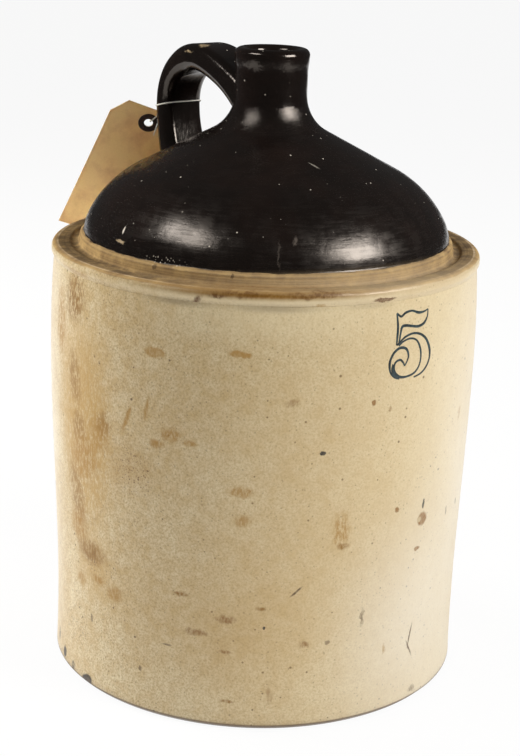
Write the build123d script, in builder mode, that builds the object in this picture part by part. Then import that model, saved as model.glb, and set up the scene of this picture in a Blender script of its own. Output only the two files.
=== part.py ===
from build123d import *
import os
from math import asin, cos, degrees, hypot, pi, radians, sin, sqrt, tan

# Stoneware shoulder jug with a strap handle and a shipping tag tied to it, in millimetres.
# The origin is the centre of the base, +Z is up, the plain front faces -Y and the handle stands on +Y.

# Crock body: a pot with a bevelled foot, a slight waist and a belly just under the seam
seam_height = 294.0
waist_radius = 146.2
waist_height = 75.0
foot_swell = 0.4
foot_bevel = 3.0
belly_swell = 3.6
belly_below_seam = 32.0
seam_swell = 2.6
seam_round = 1.4
body_wall = 11.0
body_floor = 14.0
floor_corner = 16.0

# Bead and stepped ledge, the rim of the top half
bead_swell = 3.4
bead_height = 9.4
bead_under_round = 1.8
bead_top_round = 3.6
land_width = 9.0
groove_width = 6.0
groove_depth = 1.4
step_height = 7.2
step_draft = 0.9
step_bevel = 2.0
ledge_thickness = 7.2

# Dome, neck and lip
dome_set_in = 3.1
dome_spring_rise = 2.6
dome_wall = 9.0
shoulder_radius = 38.0
shoulder_turn = 30.0
crown_radius = 77.0
crown_turn = 32.5
neck_radius = 23.8
neck_length = 15.1
neck_fillet = 29.0
throat_fillet = 36.0
mouth_radius = 16.5
lip_radius = 24.8
lip_height = 11.0

# Strap handle: its centre line is three tangent arcs, brow, arch and foot, in the plane of +Y and +Z
strap_reach = 103.7
strap_waist_drop = 44.55
strap_width = 35.2
strap_thickness = 15.9
brow_thickness = 19.4
strap_edge = 7.4
arch_radius = 35.7
arch_turn = 106.7
brow_radius = 140.0
brow_bury = 12.25
foot_arc_radius = 89.0
foot_arc_turn = 31.7
root_flare = 34.0
root_flare_power = 1.5
neck_root_width = 37.0
neck_root_depth = 23.6
dome_root_width = 39.0
dome_root_depth = 20.0
arc_stations = 4

# Tie string: one turn round the strap, a knot behind it, a loose end and a doubled link to the eyelet
string_diameter = 1.3
string_clearance = 0.25
bend_share = 0.45
loop_inner_drop = 0.8
loop_outer_drop = 5.8
loop_corner_cut = 4.6
knot_radius = 1.7
knot_stand = 1.35
knot_side = -4.0
knot_gap = 1.2
link_spread = 1.95
fold_round = 0.95
loose_end_route = ((-3.2, -0.2, -4.8), (-5.6, 0.6, -9.8), (-7.9, 1.1, -15.2), (-9.7, 1.3, -20.2))

# Shipping tag: a card with clipped top corners and a fibre patch round the eyelet on both sides
tag_length = 120.65
tag_width = 60.3
tag_thickness = 0.6
clip_across = 9.75
clip_down = 13.0
eyelet_radius = 3.3
eyelet_below_top = 12.2
patch_radius = 7.6
patch_thickness = 0.3
eyelet_from_knot = (-5.6, 13.4, -12.7)
tag_turn = 35.1
tag_roll = 21.3
tag_rest_gap = 0.6

# Levels and radii that follow from the sizes above
foot_radius = waist_radius + foot_swell
belly_radius = waist_radius + belly_swell
seam_radius = waist_radius + seam_swell
bead_radius = waist_radius + bead_swell
body_bore = waist_radius - body_wall
ledge_height = seam_height + bead_height
bead_top = ledge_height - bead_top_round
land_radius = bead_radius - bead_top_round - land_width
step_radius = land_radius - groove_width
step_top = ledge_height + step_height
dome_radius = step_radius - dome_set_in
dome_spring = ledge_height + dome_spring_rise
crown_lean = shoulder_turn + crown_turn
lip_round = (lip_radius - mouth_radius) / 2
string_radius = string_diameter / 2
string_stand = string_clearance + string_radius


def draw_dome_line(start_height, inset, fillet_radius, end_radius):
    """Draw the dome's line from its foot to the neck, set in from the outer face; return its two ends."""
    low_radius = shoulder_radius - inset
    start_lean = asin((start_height - dome_spring) / low_radius)
    start = (dome_radius - shoulder_radius + low_radius * cos(start_lean), start_height)
    heading = (-sin(start_lean), cos(start_lean))
    shoulder = JernArc(start, heading, low_radius, shoulder_turn - degrees(start_lean))
    crown = JernArc(shoulder @ 1, shoulder % 1, crown_radius - inset, crown_turn)
    fillet_start = end_radius + fillet_radius * (1 - cos(radians(crown_lean)))
    flank_length = ((crown @ 1).X - fillet_start) / sin(radians(crown_lean))
    flank = Line(crown @ 1, (crown @ 1) + (crown % 1) * flank_length)
    neck_bend = JernArc(flank @ 1, flank % 1, fillet_radius, -crown_lean)
    return shoulder @ 0, neck_bend @ 1


# The dome's line gives the height of the neck, and so of the lip and of the strap that hangs from it
with BuildLine():
    _, neck_foot = draw_dome_line(step_top, 0, neck_fillet, neck_radius)
neck_top = neck_foot.Y + neck_length
lip_crest = neck_top + lip_height
total_height = lip_crest + lip_round
strap_waist_height = lip_crest - strap_waist_drop
loop_inner_height = strap_waist_height - loop_inner_drop
loop_outer_height = strap_waist_height - loop_outer_drop


def draw_top_outside():
    """Draw the outer line of the top half, from the seam to the lip; return its first point."""
    seat_edge = (bead_radius - bead_under_round, seam_height)
    under_round = JernArc(seat_edge, (1, 0), bead_under_round, 90)
    bead_side = Line(under_round @ 1, (bead_radius, bead_top))
    top_round = JernArc(bead_side @ 1, (0, 1), bead_top_round, 90)
    land = Line(top_round @ 1, (land_radius, ledge_height))
    groove_middle = (land_radius - groove_width / 2, ledge_height - groove_depth)
    groove = ThreePointArc(land @ 1, groove_middle, (step_radius, ledge_height))
    step_side = Line(groove @ 1, (step_radius - step_draft, step_top - step_bevel))
    dome_start, neck_start = draw_dome_line(step_top, 0, neck_fillet, neck_radius)
    Line(step_side @ 1, dome_start)
    neck = Line(neck_start, (neck_radius, neck_top))
    Spline(neck @ 1, (lip_radius, lip_crest), tangents=((0, 1), (0, 1)))
    return seat_edge


def strap_face(height, side):
    """Reach of the strap's outer (+1) or inner (-1) face at a height below its waist."""
    face_radius = foot_arc_radius + side * strap_thickness / 2
    return strap_reach - foot_arc_radius + sqrt(face_radius**2 - (strap_waist_height - height) ** 2)


def bend_radii(route):
    """Radius of each bend of a cord's route: as large as its two runs allow."""
    points = [Vector(point) for point in route]
    radii = []
    for before, here, after in zip(points, points[1:], points[2:]):
        turn = radians((here - before).get_angle(after - here))
        shorter_run = min((here - before).length, (after - here).length)
        radii.append(bend_share * shorter_run / tan(turn / 2))
    return radii


def tag_axes(lean):
    """Unit vectors across the tag, down it and out of it, for a lean away from the jug in degrees."""
    across = Vector(1, 0, 0).rotate(Axis.Y, tag_roll).rotate(Axis.X, lean).rotate(Axis.Z, -tag_turn)
    outward = Vector(0, 1, 0).rotate(Axis.X, lean).rotate(Axis.Z, -tag_turn)
    return across, outward.cross(across), outward


def tag_clearance(lean):
    """Gap between the tag's long edge and the bead that it leans on."""
    across, down, _ = tag_axes(lean)
    edge = eyelet + across * (tag_width / 2)
    level = edge - down * ((edge.Z - bead_top) / down.Z)
    return hypot(level.X, level.Y) - bead_radius - tag_thickness / 2


# Crock body, one thrown and turned pot
with BuildPart() as crock_body:
    with BuildSketch(Plane.XZ):
        with BuildLine():
            wall_foot = (foot_radius, foot_bevel)
            wall_waist = (waist_radius, waist_height)
            wall_belly = (belly_radius, seam_height - belly_below_seam)
            wall_top = (seam_radius, seam_height - seam_round)
            Polyline((0, body_floor), (0, 0), (foot_radius - foot_bevel, 0), wall_foot)
            Spline(wall_foot, wall_waist, wall_belly, wall_top)
            rim = JernArc(wall_top, (0, 1), seam_round, 90)
            bore = Polyline(rim @ 1, (body_bore, seam_height), (body_bore, body_floor + floor_corner))
            corner = JernArc(bore @ 1, (0, -1), floor_corner, -90)
            Line(corner @ 1, (0, body_floor))
        make_face()
    revolve(axis=Axis.Z)

# Top half: bead, ledge, dome, neck and lip in one moulded piece, luted on the body's rim
with BuildPart() as dome_top:
    with BuildSketch(Plane.XZ):
        with BuildLine():
            seat_outer = draw_top_outside()
            lip_middle = (mouth_radius + lip_round, total_height)
            lip = ThreePointArc((lip_radius, lip_crest), lip_middle, (mouth_radius, lip_crest))
            inner_foot, throat = draw_dome_line(dome_spring, dome_wall, throat_fillet, mouth_radius)
            Line(lip @ 1, throat)
            under_ledge = (inner_foot.X, ledge_height - ledge_thickness / 2)
            Polyline(inner_foot, under_ledge, (body_bore, seam_height), seat_outer)
        make_face()
    revolve(axis=Axis.Z)

# The same top half without its hollow, which gives the strap's ends their saddle shapes
with BuildPart() as top_core:
    with BuildSketch(Plane.XZ):
        with BuildLine():
            core_seat = draw_top_outside()
            Polyline((lip_radius, lip_crest), (0, lip_crest), (0, seam_height), core_seat)
        make_face()
    revolve(axis=Axis.Z)

# Strap handle, a pulled strap that thickens over the arch and swells where it is pressed on the neck and
# on the dome. Its centre line is drawn with the reach from the axis as X and the height as Y.
with BuildLine() as strap_line:
    arch = JernArc((strap_reach, strap_waist_height), (0, 1), arch_radius, arch_turn)
    brow_sink = (arch @ 1).X - neck_radius + brow_bury
    brow_lean = asin(brow_sink / brow_radius - (arch % 1).Y)
    brow_turn = 90 + degrees(brow_lean) - arch_turn
    brow = JernArc(arch @ 1, arch % 1, brow_radius, brow_turn)
    foot = JernArc((strap_reach, strap_waist_height), (0, -1), foot_arc_radius, -foot_arc_turn)

shares = [step / arc_stations for step in range(1, arc_stations + 1)]
strap_stations = []
for share in reversed(shares):
    strap_stations.append((brow, share, -1, brow_thickness, neck_root_width, neck_root_depth))
for share in reversed(shares):
    arch_thickness = strap_thickness + (brow_thickness - strap_thickness) * share**2 * (3 - 2 * share)
    strap_stations.append((arch, share, -1, arch_thickness, strap_width, arch_thickness))
for share in [0.0] + shares:
    strap_stations.append((foot, share, 1, strap_thickness, dome_root_width, dome_root_depth))

with BuildPart() as strap_handle:
    for arc, share, facing, plain_depth, root_width, root_depth in strap_stations:
        middle = arc @ share
        along = (arc % share) * facing
        root_distance = (1 - share) * arc.length
        swell = max(0.0, 1 - root_distance / root_flare) ** root_flare_power
        width = strap_width + (root_width - strap_width) * swell
        depth = plain_depth + (root_depth - plain_depth) * swell
        square = Plane(origin=(0, middle.X, middle.Y), x_dir=(1, 0, 0), z_dir=(0, along.X, along.Y))
        with BuildSketch(square):
            RectangleRounded(width, depth, strap_edge)
    loft()
    add(top_core.part, mode=Mode.SUBTRACT)

# Places of the string: its turn round the strap, the knot behind the strap and the tag's eyelet
loop_side = strap_width / 2 + string_stand
loop_inner = strap_face(loop_inner_height, -1) - string_stand
loop_outer = strap_face(loop_outer_height, 1) + string_stand
loop_slope = (loop_outer_height - loop_inner_height) / (loop_outer - loop_inner)
loop_plan = (
    (knot_side, loop_outer),
    (loop_corner_cut - loop_side, loop_outer),
    (-loop_side, loop_outer - loop_corner_cut),
    (-loop_side, loop_inner + loop_corner_cut),
    (loop_corner_cut - loop_side, loop_inner),
    (loop_side - loop_corner_cut, loop_inner),
    (loop_side, loop_inner + loop_corner_cut),
    (loop_side, loop_outer - loop_corner_cut),
    (loop_side - loop_corner_cut, loop_outer),
    (knot_side + string_radius, loop_outer),
)
loop_route = [(x, y, loop_inner_height + (y - loop_inner) * loop_slope) for x, y in loop_plan]
knot = Vector(knot_side, loop_outer + knot_stand, loop_outer_height)
eyelet = knot + Vector(eyelet_from_knot)
tail_route = [knot] + [knot + Vector(offset) for offset in loose_end_route]

# The tag leans out until its long edge just clears the bead
least_lean = 0.0
most_lean = 80.0
lean_step = 1e-6
while most_lean - least_lean > lean_step:
    tag_lean = (least_lean + most_lean) / 2
    if tag_clearance(tag_lean) < tag_rest_gap:
        least_lean = tag_lean
    else:
        most_lean = tag_lean
tag_across, tag_down, tag_outward = tag_axes(tag_lean)
tag_plane = Plane(origin=eyelet, x_dir=tag_across, z_dir=tag_outward)

# The link lies square to the card, in the plane from the eyelet to the knot
to_knot = knot - eyelet
link_along = (to_knot - tag_outward * to_knot.dot(tag_outward)).normalized()
link_plane = Plane(origin=eyelet, x_dir=link_along, z_dir=link_along.cross(tag_outward))
knot_along = to_knot.dot(link_along)
knot_out = to_knot.dot(tag_outward)
card_edge_along = eyelet_below_top / -link_along.dot(tag_down)
fold = tag_thickness / 2 + patch_thickness + string_stand
link_end = knot_along - knot_radius - knot_gap
link_route = (
    (link_end, knot_out - link_spread / 2),
    (eyelet_radius - fold, -fold),
    (eyelet_radius - fold, fold),
    (card_edge_along + string_radius, fold),
    (link_end, knot_out + link_spread / 2),
)
fold_radius = fold_round * fold
link_radii = [min(fold_radius, radius) for radius in bend_radii([(u, v, 0) for u, v in link_route])]

# String loop: the turn round the strap, the knot and the loose end
loop_radii = bend_radii(loop_route)
tail_radii = bend_radii(tail_route)
with BuildPart() as string_loop:
    with BuildLine() as loop_path:
        FilletPolyline(*loop_route, radius=loop_radii)
    with BuildSketch(Plane(origin=loop_path.wire() @ 0, z_dir=loop_path.wire() % 0)):
        Circle(string_radius)
    sweep(path=loop_path.wire())
    loop_share = string_loop.part.volume / (pi * string_radius**2 * loop_path.wire().length)
    with Locations(knot):
        Sphere(knot_radius)
    with BuildLine() as tail_path:
        FilletPolyline(*tail_route, radius=tail_radii)
    with BuildSketch(Plane(origin=tail_path.wire() @ 0, z_dir=tail_path.wire() % 0)):
        Circle(string_radius)
    sweep(path=tail_path.wire())

# String link: doubled through the eyelet, round the card's edge and back to the knot
with BuildPart() as string_link:
    with BuildLine(link_plane) as link_path:
        FilletPolyline(*link_route, radius=link_radii)
    with BuildSketch(Plane(origin=link_path.wire() @ 0, z_dir=link_path.wire() % 0)):
        Circle(string_radius)
    sweep(path=link_path.wire())

# Tag card, with Y running down the card from the eyelet
with BuildPart() as tag_card:
    with BuildSketch(tag_plane):
        with BuildLine():
            half = tag_width / 2
            top = -eyelet_below_top
            bottom = tag_length - eyelet_below_top
            Polyline(
                (clip_across - half, top),
                (half - clip_across, top),
                (half, top + clip_down),
                (half, bottom),
                (-half, bottom),
                (-half, top + clip_down),
                close=True,
            )
        make_face()
        Circle(eyelet_radius, mode=Mode.SUBTRACT)
    extrude(amount=tag_thickness / 2, both=True)

# Fibre patches, one glued on each face of the card
with BuildPart() as tag_patch_front:
    with BuildSketch(tag_plane.offset(-tag_thickness / 2)):
        Circle(patch_radius)
        Circle(eyelet_radius, mode=Mode.SUBTRACT)
    extrude(amount=-patch_thickness)

with BuildPart() as tag_patch_rear:
    with BuildSketch(tag_plane.offset(tag_thickness / 2)):
        Circle(patch_radius)
        Circle(eyelet_radius, mode=Mode.SUBTRACT)
    extrude(amount=patch_thickness)

crock_body.part.label = "crock_body"
dome_top.part.label = "dome_top"
strap_handle.part.label = "strap_handle"
string_loop.part.label = "string_loop"
string_link.part.label = "string_link"
tag_card.part.label = "tag_card"
tag_patch_front.part.label = "tag_patch_front"
tag_patch_rear.part.label = "tag_patch_rear"

os.makedirs("parts", exist_ok=True)
export_step(crock_body.part, "parts/crock_body.step")
export_step(dome_top.part, "parts/dome_top.step")
export_step(strap_handle.part, "parts/strap_handle.step")
export_step(string_loop.part, "parts/string_loop.step")
export_step(string_link.part, "parts/string_link.step")
export_step(tag_card.part, "parts/tag_card.step")
export_step(tag_patch_front.part, "parts/tag_patch_front.step")
export_step(tag_patch_rear.part, "parts/tag_patch_rear.step")

print("bend radii of the loop", [round(radius, 2) for radius in loop_radii])
print("bend radii of the loose end", [round(radius, 2) for radius in tail_radii])
print("bend radii of the link", [round(radius, 2) for radius in link_radii])
print("loop volume over section times length", round(loop_share, 4))
print("loop length", round(loop_path.wire().length, 2), "loose end", round(tail_path.wire().length, 2))
print("link length", round(link_path.wire().length, 2), "tag lean", round(tag_lean, 2))
print("knot", tuple(knot), "eyelet", tuple(eyelet))
print("bore of the mouth from", round(throat.Y, 3), "to", round(lip_crest, 3))
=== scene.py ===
"""Dress the stoneware shoulder jug: glazes, bare clay, the number on its wall, the tie string and the tag.

Lengths are in metres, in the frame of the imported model: the origin is the centre of the base, +Z is up,
the plain front faces -Y and the strap handle stands on +Y. Bearings are degrees from the front towards +X.
"""

import logging
import math
from dataclasses import dataclass
from enum import Enum
from functools import partial

import bpy
from mathutils import Matrix, Vector


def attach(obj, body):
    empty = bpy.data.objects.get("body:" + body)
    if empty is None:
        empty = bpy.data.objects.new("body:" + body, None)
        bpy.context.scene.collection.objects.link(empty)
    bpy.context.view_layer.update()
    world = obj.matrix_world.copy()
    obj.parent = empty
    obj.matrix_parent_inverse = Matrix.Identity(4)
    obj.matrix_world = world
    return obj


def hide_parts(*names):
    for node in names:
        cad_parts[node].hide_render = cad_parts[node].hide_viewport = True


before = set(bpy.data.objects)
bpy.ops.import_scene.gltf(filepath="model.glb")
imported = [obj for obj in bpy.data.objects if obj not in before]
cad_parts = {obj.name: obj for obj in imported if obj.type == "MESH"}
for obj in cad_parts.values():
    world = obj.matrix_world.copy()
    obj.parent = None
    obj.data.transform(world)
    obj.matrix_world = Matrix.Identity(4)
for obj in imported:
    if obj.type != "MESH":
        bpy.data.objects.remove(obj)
log = logging.getLogger("jug")

MM = 0.001

# Short names for types; a ramp maps its first two numbers to its last two.
Socket = bpy.types.NodeSocket
Tree = bpy.types.NodeTree
Mesh = bpy.types.Mesh
Material = bpy.types.Material
Piece = bpy.types.Object
Colour = tuple[float, float, float, float]
Pair = tuple[float, float]
Ramp = tuple[float, float, float, float]

# Short names for types of nodes and trees.
MATH = "ShaderNodeMath"
VECTOR = "ShaderNodeVectorMath"
WHOLE = "FunctionNodeIntegerMath"
RAMP = "ShaderNodeMapRange"
MIX = "ShaderNodeMix"
NOISE = "ShaderNodeTexNoise"
COORD = "ShaderNodeTexCoord"
ROTATE = "ShaderNodeVectorRotate"
COMBINE = "ShaderNodeCombineXYZ"
SPLIT = "ShaderNodeSeparateXYZ"
GROUP = "ShaderNodeGroup"
GIVEN = "NodeGroupInput"
RESULT = "NodeGroupOutput"
SHAPE_TREE = "GeometryNodeTree"
SHADER_TREE = "ShaderNodeTree"

# The wheel: how far the ripple follows the way round, where it dies out, and how near points are joined.
RING_SHARE = 0.06
EVEN_RADIUS = 20 * MM
JOIN_DISTANCE = 0.01 * MM

# The brush and the thread: sides of a section, steps between two drawn points, and how the brush drags.
ROUTE_STEPS = 16
ROUTE_ORDER = 3
SECTION_SIDES = 8
LINE_STEPS = 10
DRAG_SIZE = 3.5 * MM
DRAG_RAMP = (0.25, 0.75, 0.7, 1.3)

# White light, the level part of a place, and the middle of a noise's colour.
WHITE = (1.0, 1.0, 1.0, 1.0)
LEVEL = (1.0, 1.0, 0.0)
GREY = (0.5, 0.5, 0.5)


def linear(code: str) -> Colour:
    """Turn an sRGB hex colour into linear light.

    Args:
        code: Six hex digits.

    Returns:
        Red, green, blue and a full alpha.
    """
    channels = [int(code[at : at + 2], 16) / 255 for at in (0, 2, 4)]
    light = [c / 12.92 if c <= 0.04045 else ((c + 0.055) / 1.055) ** 2.4 for c in channels]
    return (light[0], light[1], light[2], 1.0)


def add_node(
    tree: Tree, kind: str, inputs: dict | list | tuple = (), out: int | str = 0, **settings: object
) -> Socket | None:
    """Add a node to a tree, set its properties, then fill or link its inputs.

    Args:
        tree: The node tree that takes the node.
        kind: The node's type.
        inputs: Values, or sockets to link from, in order or by the input's name or number.
        out: The output that is wanted, by name or number.
        settings: Properties of the node.

    Returns:
        That output, or None for a node that ends its tree.
    """
    node = tree.nodes.new(kind)
    for name, value in settings.items():
        setattr(node, name, value)
    for key, value in inputs.items() if isinstance(inputs, dict) else enumerate(inputs):
        if isinstance(value, Socket):
            tree.links.new(value, node.inputs[key])
        else:
            node.inputs[key].default_value = value
    return node.outputs[out] if node.outputs else None


def new_tree(name: str, kind: str, inputs: dict[str, list[str]], outputs: dict[str, list[str]]) -> Tree:
    """Make an empty node tree with named sockets.

    Args:
        name: The tree's name.
        kind: The tree's type.
        inputs: Names of the inputs by their type.
        outputs: Names of the outputs by their type.

    Returns:
        The tree.
    """
    tree = bpy.data.node_groups.new(name, kind)
    for side, sockets in (("INPUT", inputs), ("OUTPUT", outputs)):
        for socket_type, labels in sockets.items():
            for label in labels:
                tree.interface.new_socket(label, in_out=side, socket_type="NodeSocket" + socket_type)
    return tree


def place_piece(name: str, data: bpy.types.ID) -> Piece:
    """Put mesh, curve, lamp or camera data in the scene as an object at the origin.

    Args:
        name: The object's name.
        data: Its data.

    Returns:
        The object.
    """
    piece = bpy.data.objects.new(name, data)
    bpy.context.scene.collection.objects.link(piece)
    return piece


def plain_mesh(holder: Piece) -> Mesh:
    """Return what an object's modifiers make as a plain mesh."""
    depsgraph = bpy.context.evaluated_depsgraph_get()
    return bpy.data.meshes.new_from_object(holder.evaluated_get(depsgraph), depsgraph=depsgraph)


def shape_piece(name: str, start: bpy.types.ID, tree: Tree, values: dict[str, object]) -> Piece:
    """Run a geometry tree once and keep what it makes as a plain mesh.

    Args:
        name: The finished piece's name.
        start: The mesh or curve that the tree starts from.
        tree: The geometry tree.
        values: Its inputs by name.

    Returns:
        The piece, with no modifier left on it.
    """
    holder = place_piece(name + "_start", start)
    modifier = holder.modifiers.new("Shape", "NODES")
    modifier.node_group = tree
    for item in tree.interface.items_tree:
        if item.in_out == "INPUT" and item.name in values:
            modifier[item.identifier] = values[item.name]
    made = plain_mesh(holder)
    bpy.data.objects.remove(holder)
    made.name = name
    return place_piece(name, made)


def line_mesh(name: str, points: list) -> Mesh:
    """Make a mesh of one row of points joined by edges.

    Args:
        name: The mesh's name.
        points: The points in order.

    Returns:
        The mesh.
    """
    mesh = bpy.data.meshes.new(name)
    mesh.from_pydata([tuple(point) for point in points], [(at, at + 1) for at in range(len(points) - 1)], [])
    return mesh


def smooth_route(name: str, points: list[Vector]) -> Mesh:
    """Lay a smooth spline on a cord's route and read it back as a row of points.

    Args:
        name: Name for the data.
        points: The route's points, which are the spline's control points.

    Returns:
        A mesh with the spline's points in order, joined by edges.
    """
    curve = bpy.data.curves.new(name, "CURVE")
    curve.dimensions = "3D"
    curve.resolution_u = ROUTE_STEPS
    spline = curve.splines.new("NURBS")
    spline.points.add(len(points) - 1)
    for held, place in zip(spline.points, points):
        held.co = (*place, 1.0)
    spline.order_u = ROUTE_ORDER
    spline.use_endpoint_u = True
    holder = place_piece(name, curve)
    line = bpy.data.meshes.new_from_object(holder)
    bpy.data.objects.remove(holder)
    return line


def end_tree(tree: Tree, shape: Socket, finish: Socket) -> Tree:
    """End a geometry tree: shade its shape smooth, make it real, give it a material and send it out.

    Args:
        tree: The tree.
        shape: The shape that it made.
        finish: The input that holds the material.

    Returns:
        The same tree.
    """
    add = partial(add_node, tree)
    smooth = add("GeometryNodeSetShadeSmooth", [shape])
    real = add("GeometryNodeRealizeInstances", [smooth])
    add(RESULT, [add("GeometryNodeSetMaterial", {0: real, "Material": finish})])
    return tree


def turned_wall_tree() -> Tree:
    """Build the tree that turns a profile round Z, as on a wheel, with a hand's slight unevenness.

    Returns:
        A geometry tree that starts from a row of points with the radius as X and the height as Z.
    """
    numbers = ["Wave", "Wave size", "Ripple", "Ripple size"]
    inputs = {"Geometry": ["Profile"], "Int": ["Steps round"], "Float": numbers, "Material": ["Finish"]}
    tree = new_tree("Turned wall", SHAPE_TREE, inputs, {"Geometry": ["Wall"]})
    add = partial(add_node, tree)
    given = add(GIVEN).node.outputs
    rows = add("GeometryNodeAttributeDomainSize", {"Geometry": given["Profile"]}, "Point Count")
    ring = add(WHOLE, [given["Steps round"], 1], operation="ADD")
    grid = add("GeometryNodeMeshGrid", {"Vertices X": rows, "Vertices Y": ring})
    index = add("GeometryNodeInputIndex")
    row = add(WHOLE, [index, ring], operation="DIVIDE_FLOOR")
    step = add(WHOLE, [index, ring], operation="MODULO")
    sampled = {"Geometry": given["Profile"], "Value": add("GeometryNodeInputPosition"), "Index": row}
    drawn = add("GeometryNodeSampleIndex", sampled, "Value", data_type="FLOAT_VECTOR")
    profile = add(SPLIT, [drawn]).node.outputs
    share = add(MATH, [step, given["Steps round"]], operation="DIVIDE")
    angle = add(MATH, [share, math.tau], operation="MULTIPLY")
    outward = add(COMBINE, [add(MATH, [angle], operation=wave) for wave in ("COSINE", "SINE")])
    flat = add(VECTOR, {0: outward, "Scale": profile["X"]}, operation="SCALE")
    rise = add(COMBINE, {2: profile["Z"]})
    true_place = add(VECTOR, [flat, rise], operation="ADD")

    near_axis = add(VECTOR, {0: flat, "Scale": RING_SHARE}, operation="SCALE")
    thrown = add(VECTOR, [near_axis, rise], operation="ADD")
    pushes = []
    for name, place, detail in (("Wave", true_place, 1.0), ("Ripple", thrown, 2.0)):
        scale = add(MATH, [1.0, given[name + " size"]], operation="DIVIDE")
        noise = add(NOISE, {"Vector": place, "Scale": scale, "Detail": detail})
        centred = add(MATH, [noise, 0.5], operation="SUBTRACT")
        pushes.append(add(MATH, [centred, given[name]], operation="MULTIPLY"))
    uneven = add(MATH, pushes, operation="ADD")
    held = add(RAMP, [profile["X"], 0.0, EVEN_RADIUS])
    push = add(MATH, [uneven, held], operation="MULTIPLY")
    shift = add(VECTOR, {0: outward, "Scale": push}, operation="SCALE")

    wall = add("GeometryNodeSetPosition", {"Geometry": grid, "Position": true_place, "Offset": shift})
    closed = add("GeometryNodeMergeByDistance", {0: wall, "Distance": JOIN_DISTANCE})
    return end_tree(tree, add("GeometryNodeFlipFaces", [closed]), given["Finish"])


def twisted_cord_tree() -> Tree:
    """Build the tree that lays plies of thread round a route.

    Returns:
        A geometry tree that starts from a row of points.
    """
    numbers = ["Ply radius", "Ply stand", "Lay", "Step"]
    inputs = {"Geometry": ["Route"], "Int": ["Plies"], "Float": numbers, "Material": ["Finish"]}
    tree = new_tree("Twisted cord", SHAPE_TREE, inputs, {"Geometry": ["Cord"]})
    add = partial(add_node, tree)
    given = add(GIVEN).node.outputs
    line = add("GeometryNodeMeshToCurve", [given["Route"]])
    even = add("GeometryNodeResampleCurve", {"Curve": line, "Length": given["Step"]}, mode="LENGTH")
    counted = {0: even, "Amount": given["Plies"]}
    copies = add("GeometryNodeDuplicateElements", counted, domain="SPLINE").node.outputs
    along = add("GeometryNodeSplineParameter", out="Length")
    turns = add(MATH, [along, given["Lay"]], operation="DIVIDE")
    phase = add(MATH, [copies[1], given["Plies"]], operation="DIVIDE")
    total = add(MATH, [turns, phase], operation="ADD")
    angle = add(MATH, [total, math.tau], operation="MULTIPLY")
    normal, tangent = add("GeometryNodeInputNormal"), add("GeometryNodeInputTangent")
    around = {"Vector": normal, "Axis": tangent, "Angle": angle}
    turned = add(ROTATE, around, rotation_type="AXIS_ANGLE")
    stand = add(VECTOR, {0: turned, "Scale": given["Ply stand"]}, operation="SCALE")
    plies = add("GeometryNodeSetPosition", {"Geometry": copies[0], "Offset": stand})
    size = {"Resolution": SECTION_SIDES, "Radius": given["Ply radius"]}
    section = add("GeometryNodeCurvePrimitiveCircle", size)
    tube = add("GeometryNodeCurveToMesh", {"Curve": plies, "Profile Curve": section, "Fill Caps": True})
    return end_tree(tree, tube, given["Finish"])


def brushed_line_tree() -> Tree:
    """Build the tree that lays brushed lines, drawn flat in X and Z, on a turned wall.

    Returns:
        A geometry tree that starts from curves whose radius is half the line's width.
    """
    numbers = ["Bearing", "Height", "Wall radius", "Thickness", "Seed"]
    inputs = {"Geometry": ["Lines"], "Object": ["Wall"], "Float": numbers, "Material": ["Finish"]}
    tree = new_tree("Brushed line", SHAPE_TREE, inputs, {"Geometry": ["Mark"]})
    add = partial(add_node, tree)
    given = add(GIVEN).node.outputs
    bent = add("GeometryNodeCurveSplineType", [given["Lines"]], spline_type="CATMULL_ROM")
    fine = add("GeometryNodeSetSplineResolution", {0: bent, "Resolution": LINE_STEPS})
    place = add("GeometryNodeInputPosition")
    dragged = {"Vector": place, "W": given["Seed"], "Scale": 1 / DRAG_SIZE, "Detail": 2.0}
    uneven = add(RAMP, [add(NOISE, dragged, noise_dimensions="4D"), *DRAG_RAMP])
    width = add(MATH, [add("GeometryNodeInputRadius"), uneven], operation="MULTIPLY")
    section = add("GeometryNodeCurvePrimitiveCircle", {"Resolution": SECTION_SIDES, "Radius": 1.0})
    swept = {"Curve": fine, "Profile Curve": section, "Scale": width, "Fill Caps": True}
    tube = add("GeometryNodeCurveToMesh", swept)

    flat = add(SPLIT, [place]).node.outputs
    round_wall = add(MATH, [flat["X"], given["Wall radius"]], operation="DIVIDE")
    bearing = add(MATH, [round_wall, given["Bearing"]], operation="ADD")
    north = add(MATH, [bearing], operation="COSINE")
    south = add(MATH, [north, -1.0], operation="MULTIPLY")
    outward = add(COMBINE, [add(MATH, [bearing], operation="SINE"), south])
    inward = add(VECTOR, {0: outward, "Scale": -1.0}, operation="SCALE")
    level = add(MATH, [flat["Z"], given["Height"]], operation="ADD")
    reach = add(MATH, [given["Wall radius"], 2.0], operation="MULTIPLY")
    far_flat = add(VECTOR, {0: outward, "Scale": reach}, operation="SCALE")
    far = add(VECTOR, [far_flat, add(COMBINE, {2: level})], operation="ADD")
    wall = add("GeometryNodeObjectInfo", {"Object": given["Wall"]}, "Geometry")
    aimed = {"Target Geometry": wall, "Source Position": far, "Ray Direction": inward, "Ray Length": 1.0}
    hit = add("GeometryNodeRaycast", aimed, "Hit Position")
    over = add(RAMP, [flat["Y"], -MM, MM, -1.0, 1.0])
    proud = add(MATH, [over, given["Thickness"]], operation="MULTIPLY")
    lift = add(VECTOR, {0: outward, "Scale": proud}, operation="SCALE")
    laid = add("GeometryNodeSetPosition", {"Geometry": tube, "Position": hit, "Offset": lift})
    return end_tree(tree, laid, given["Finish"])


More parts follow.
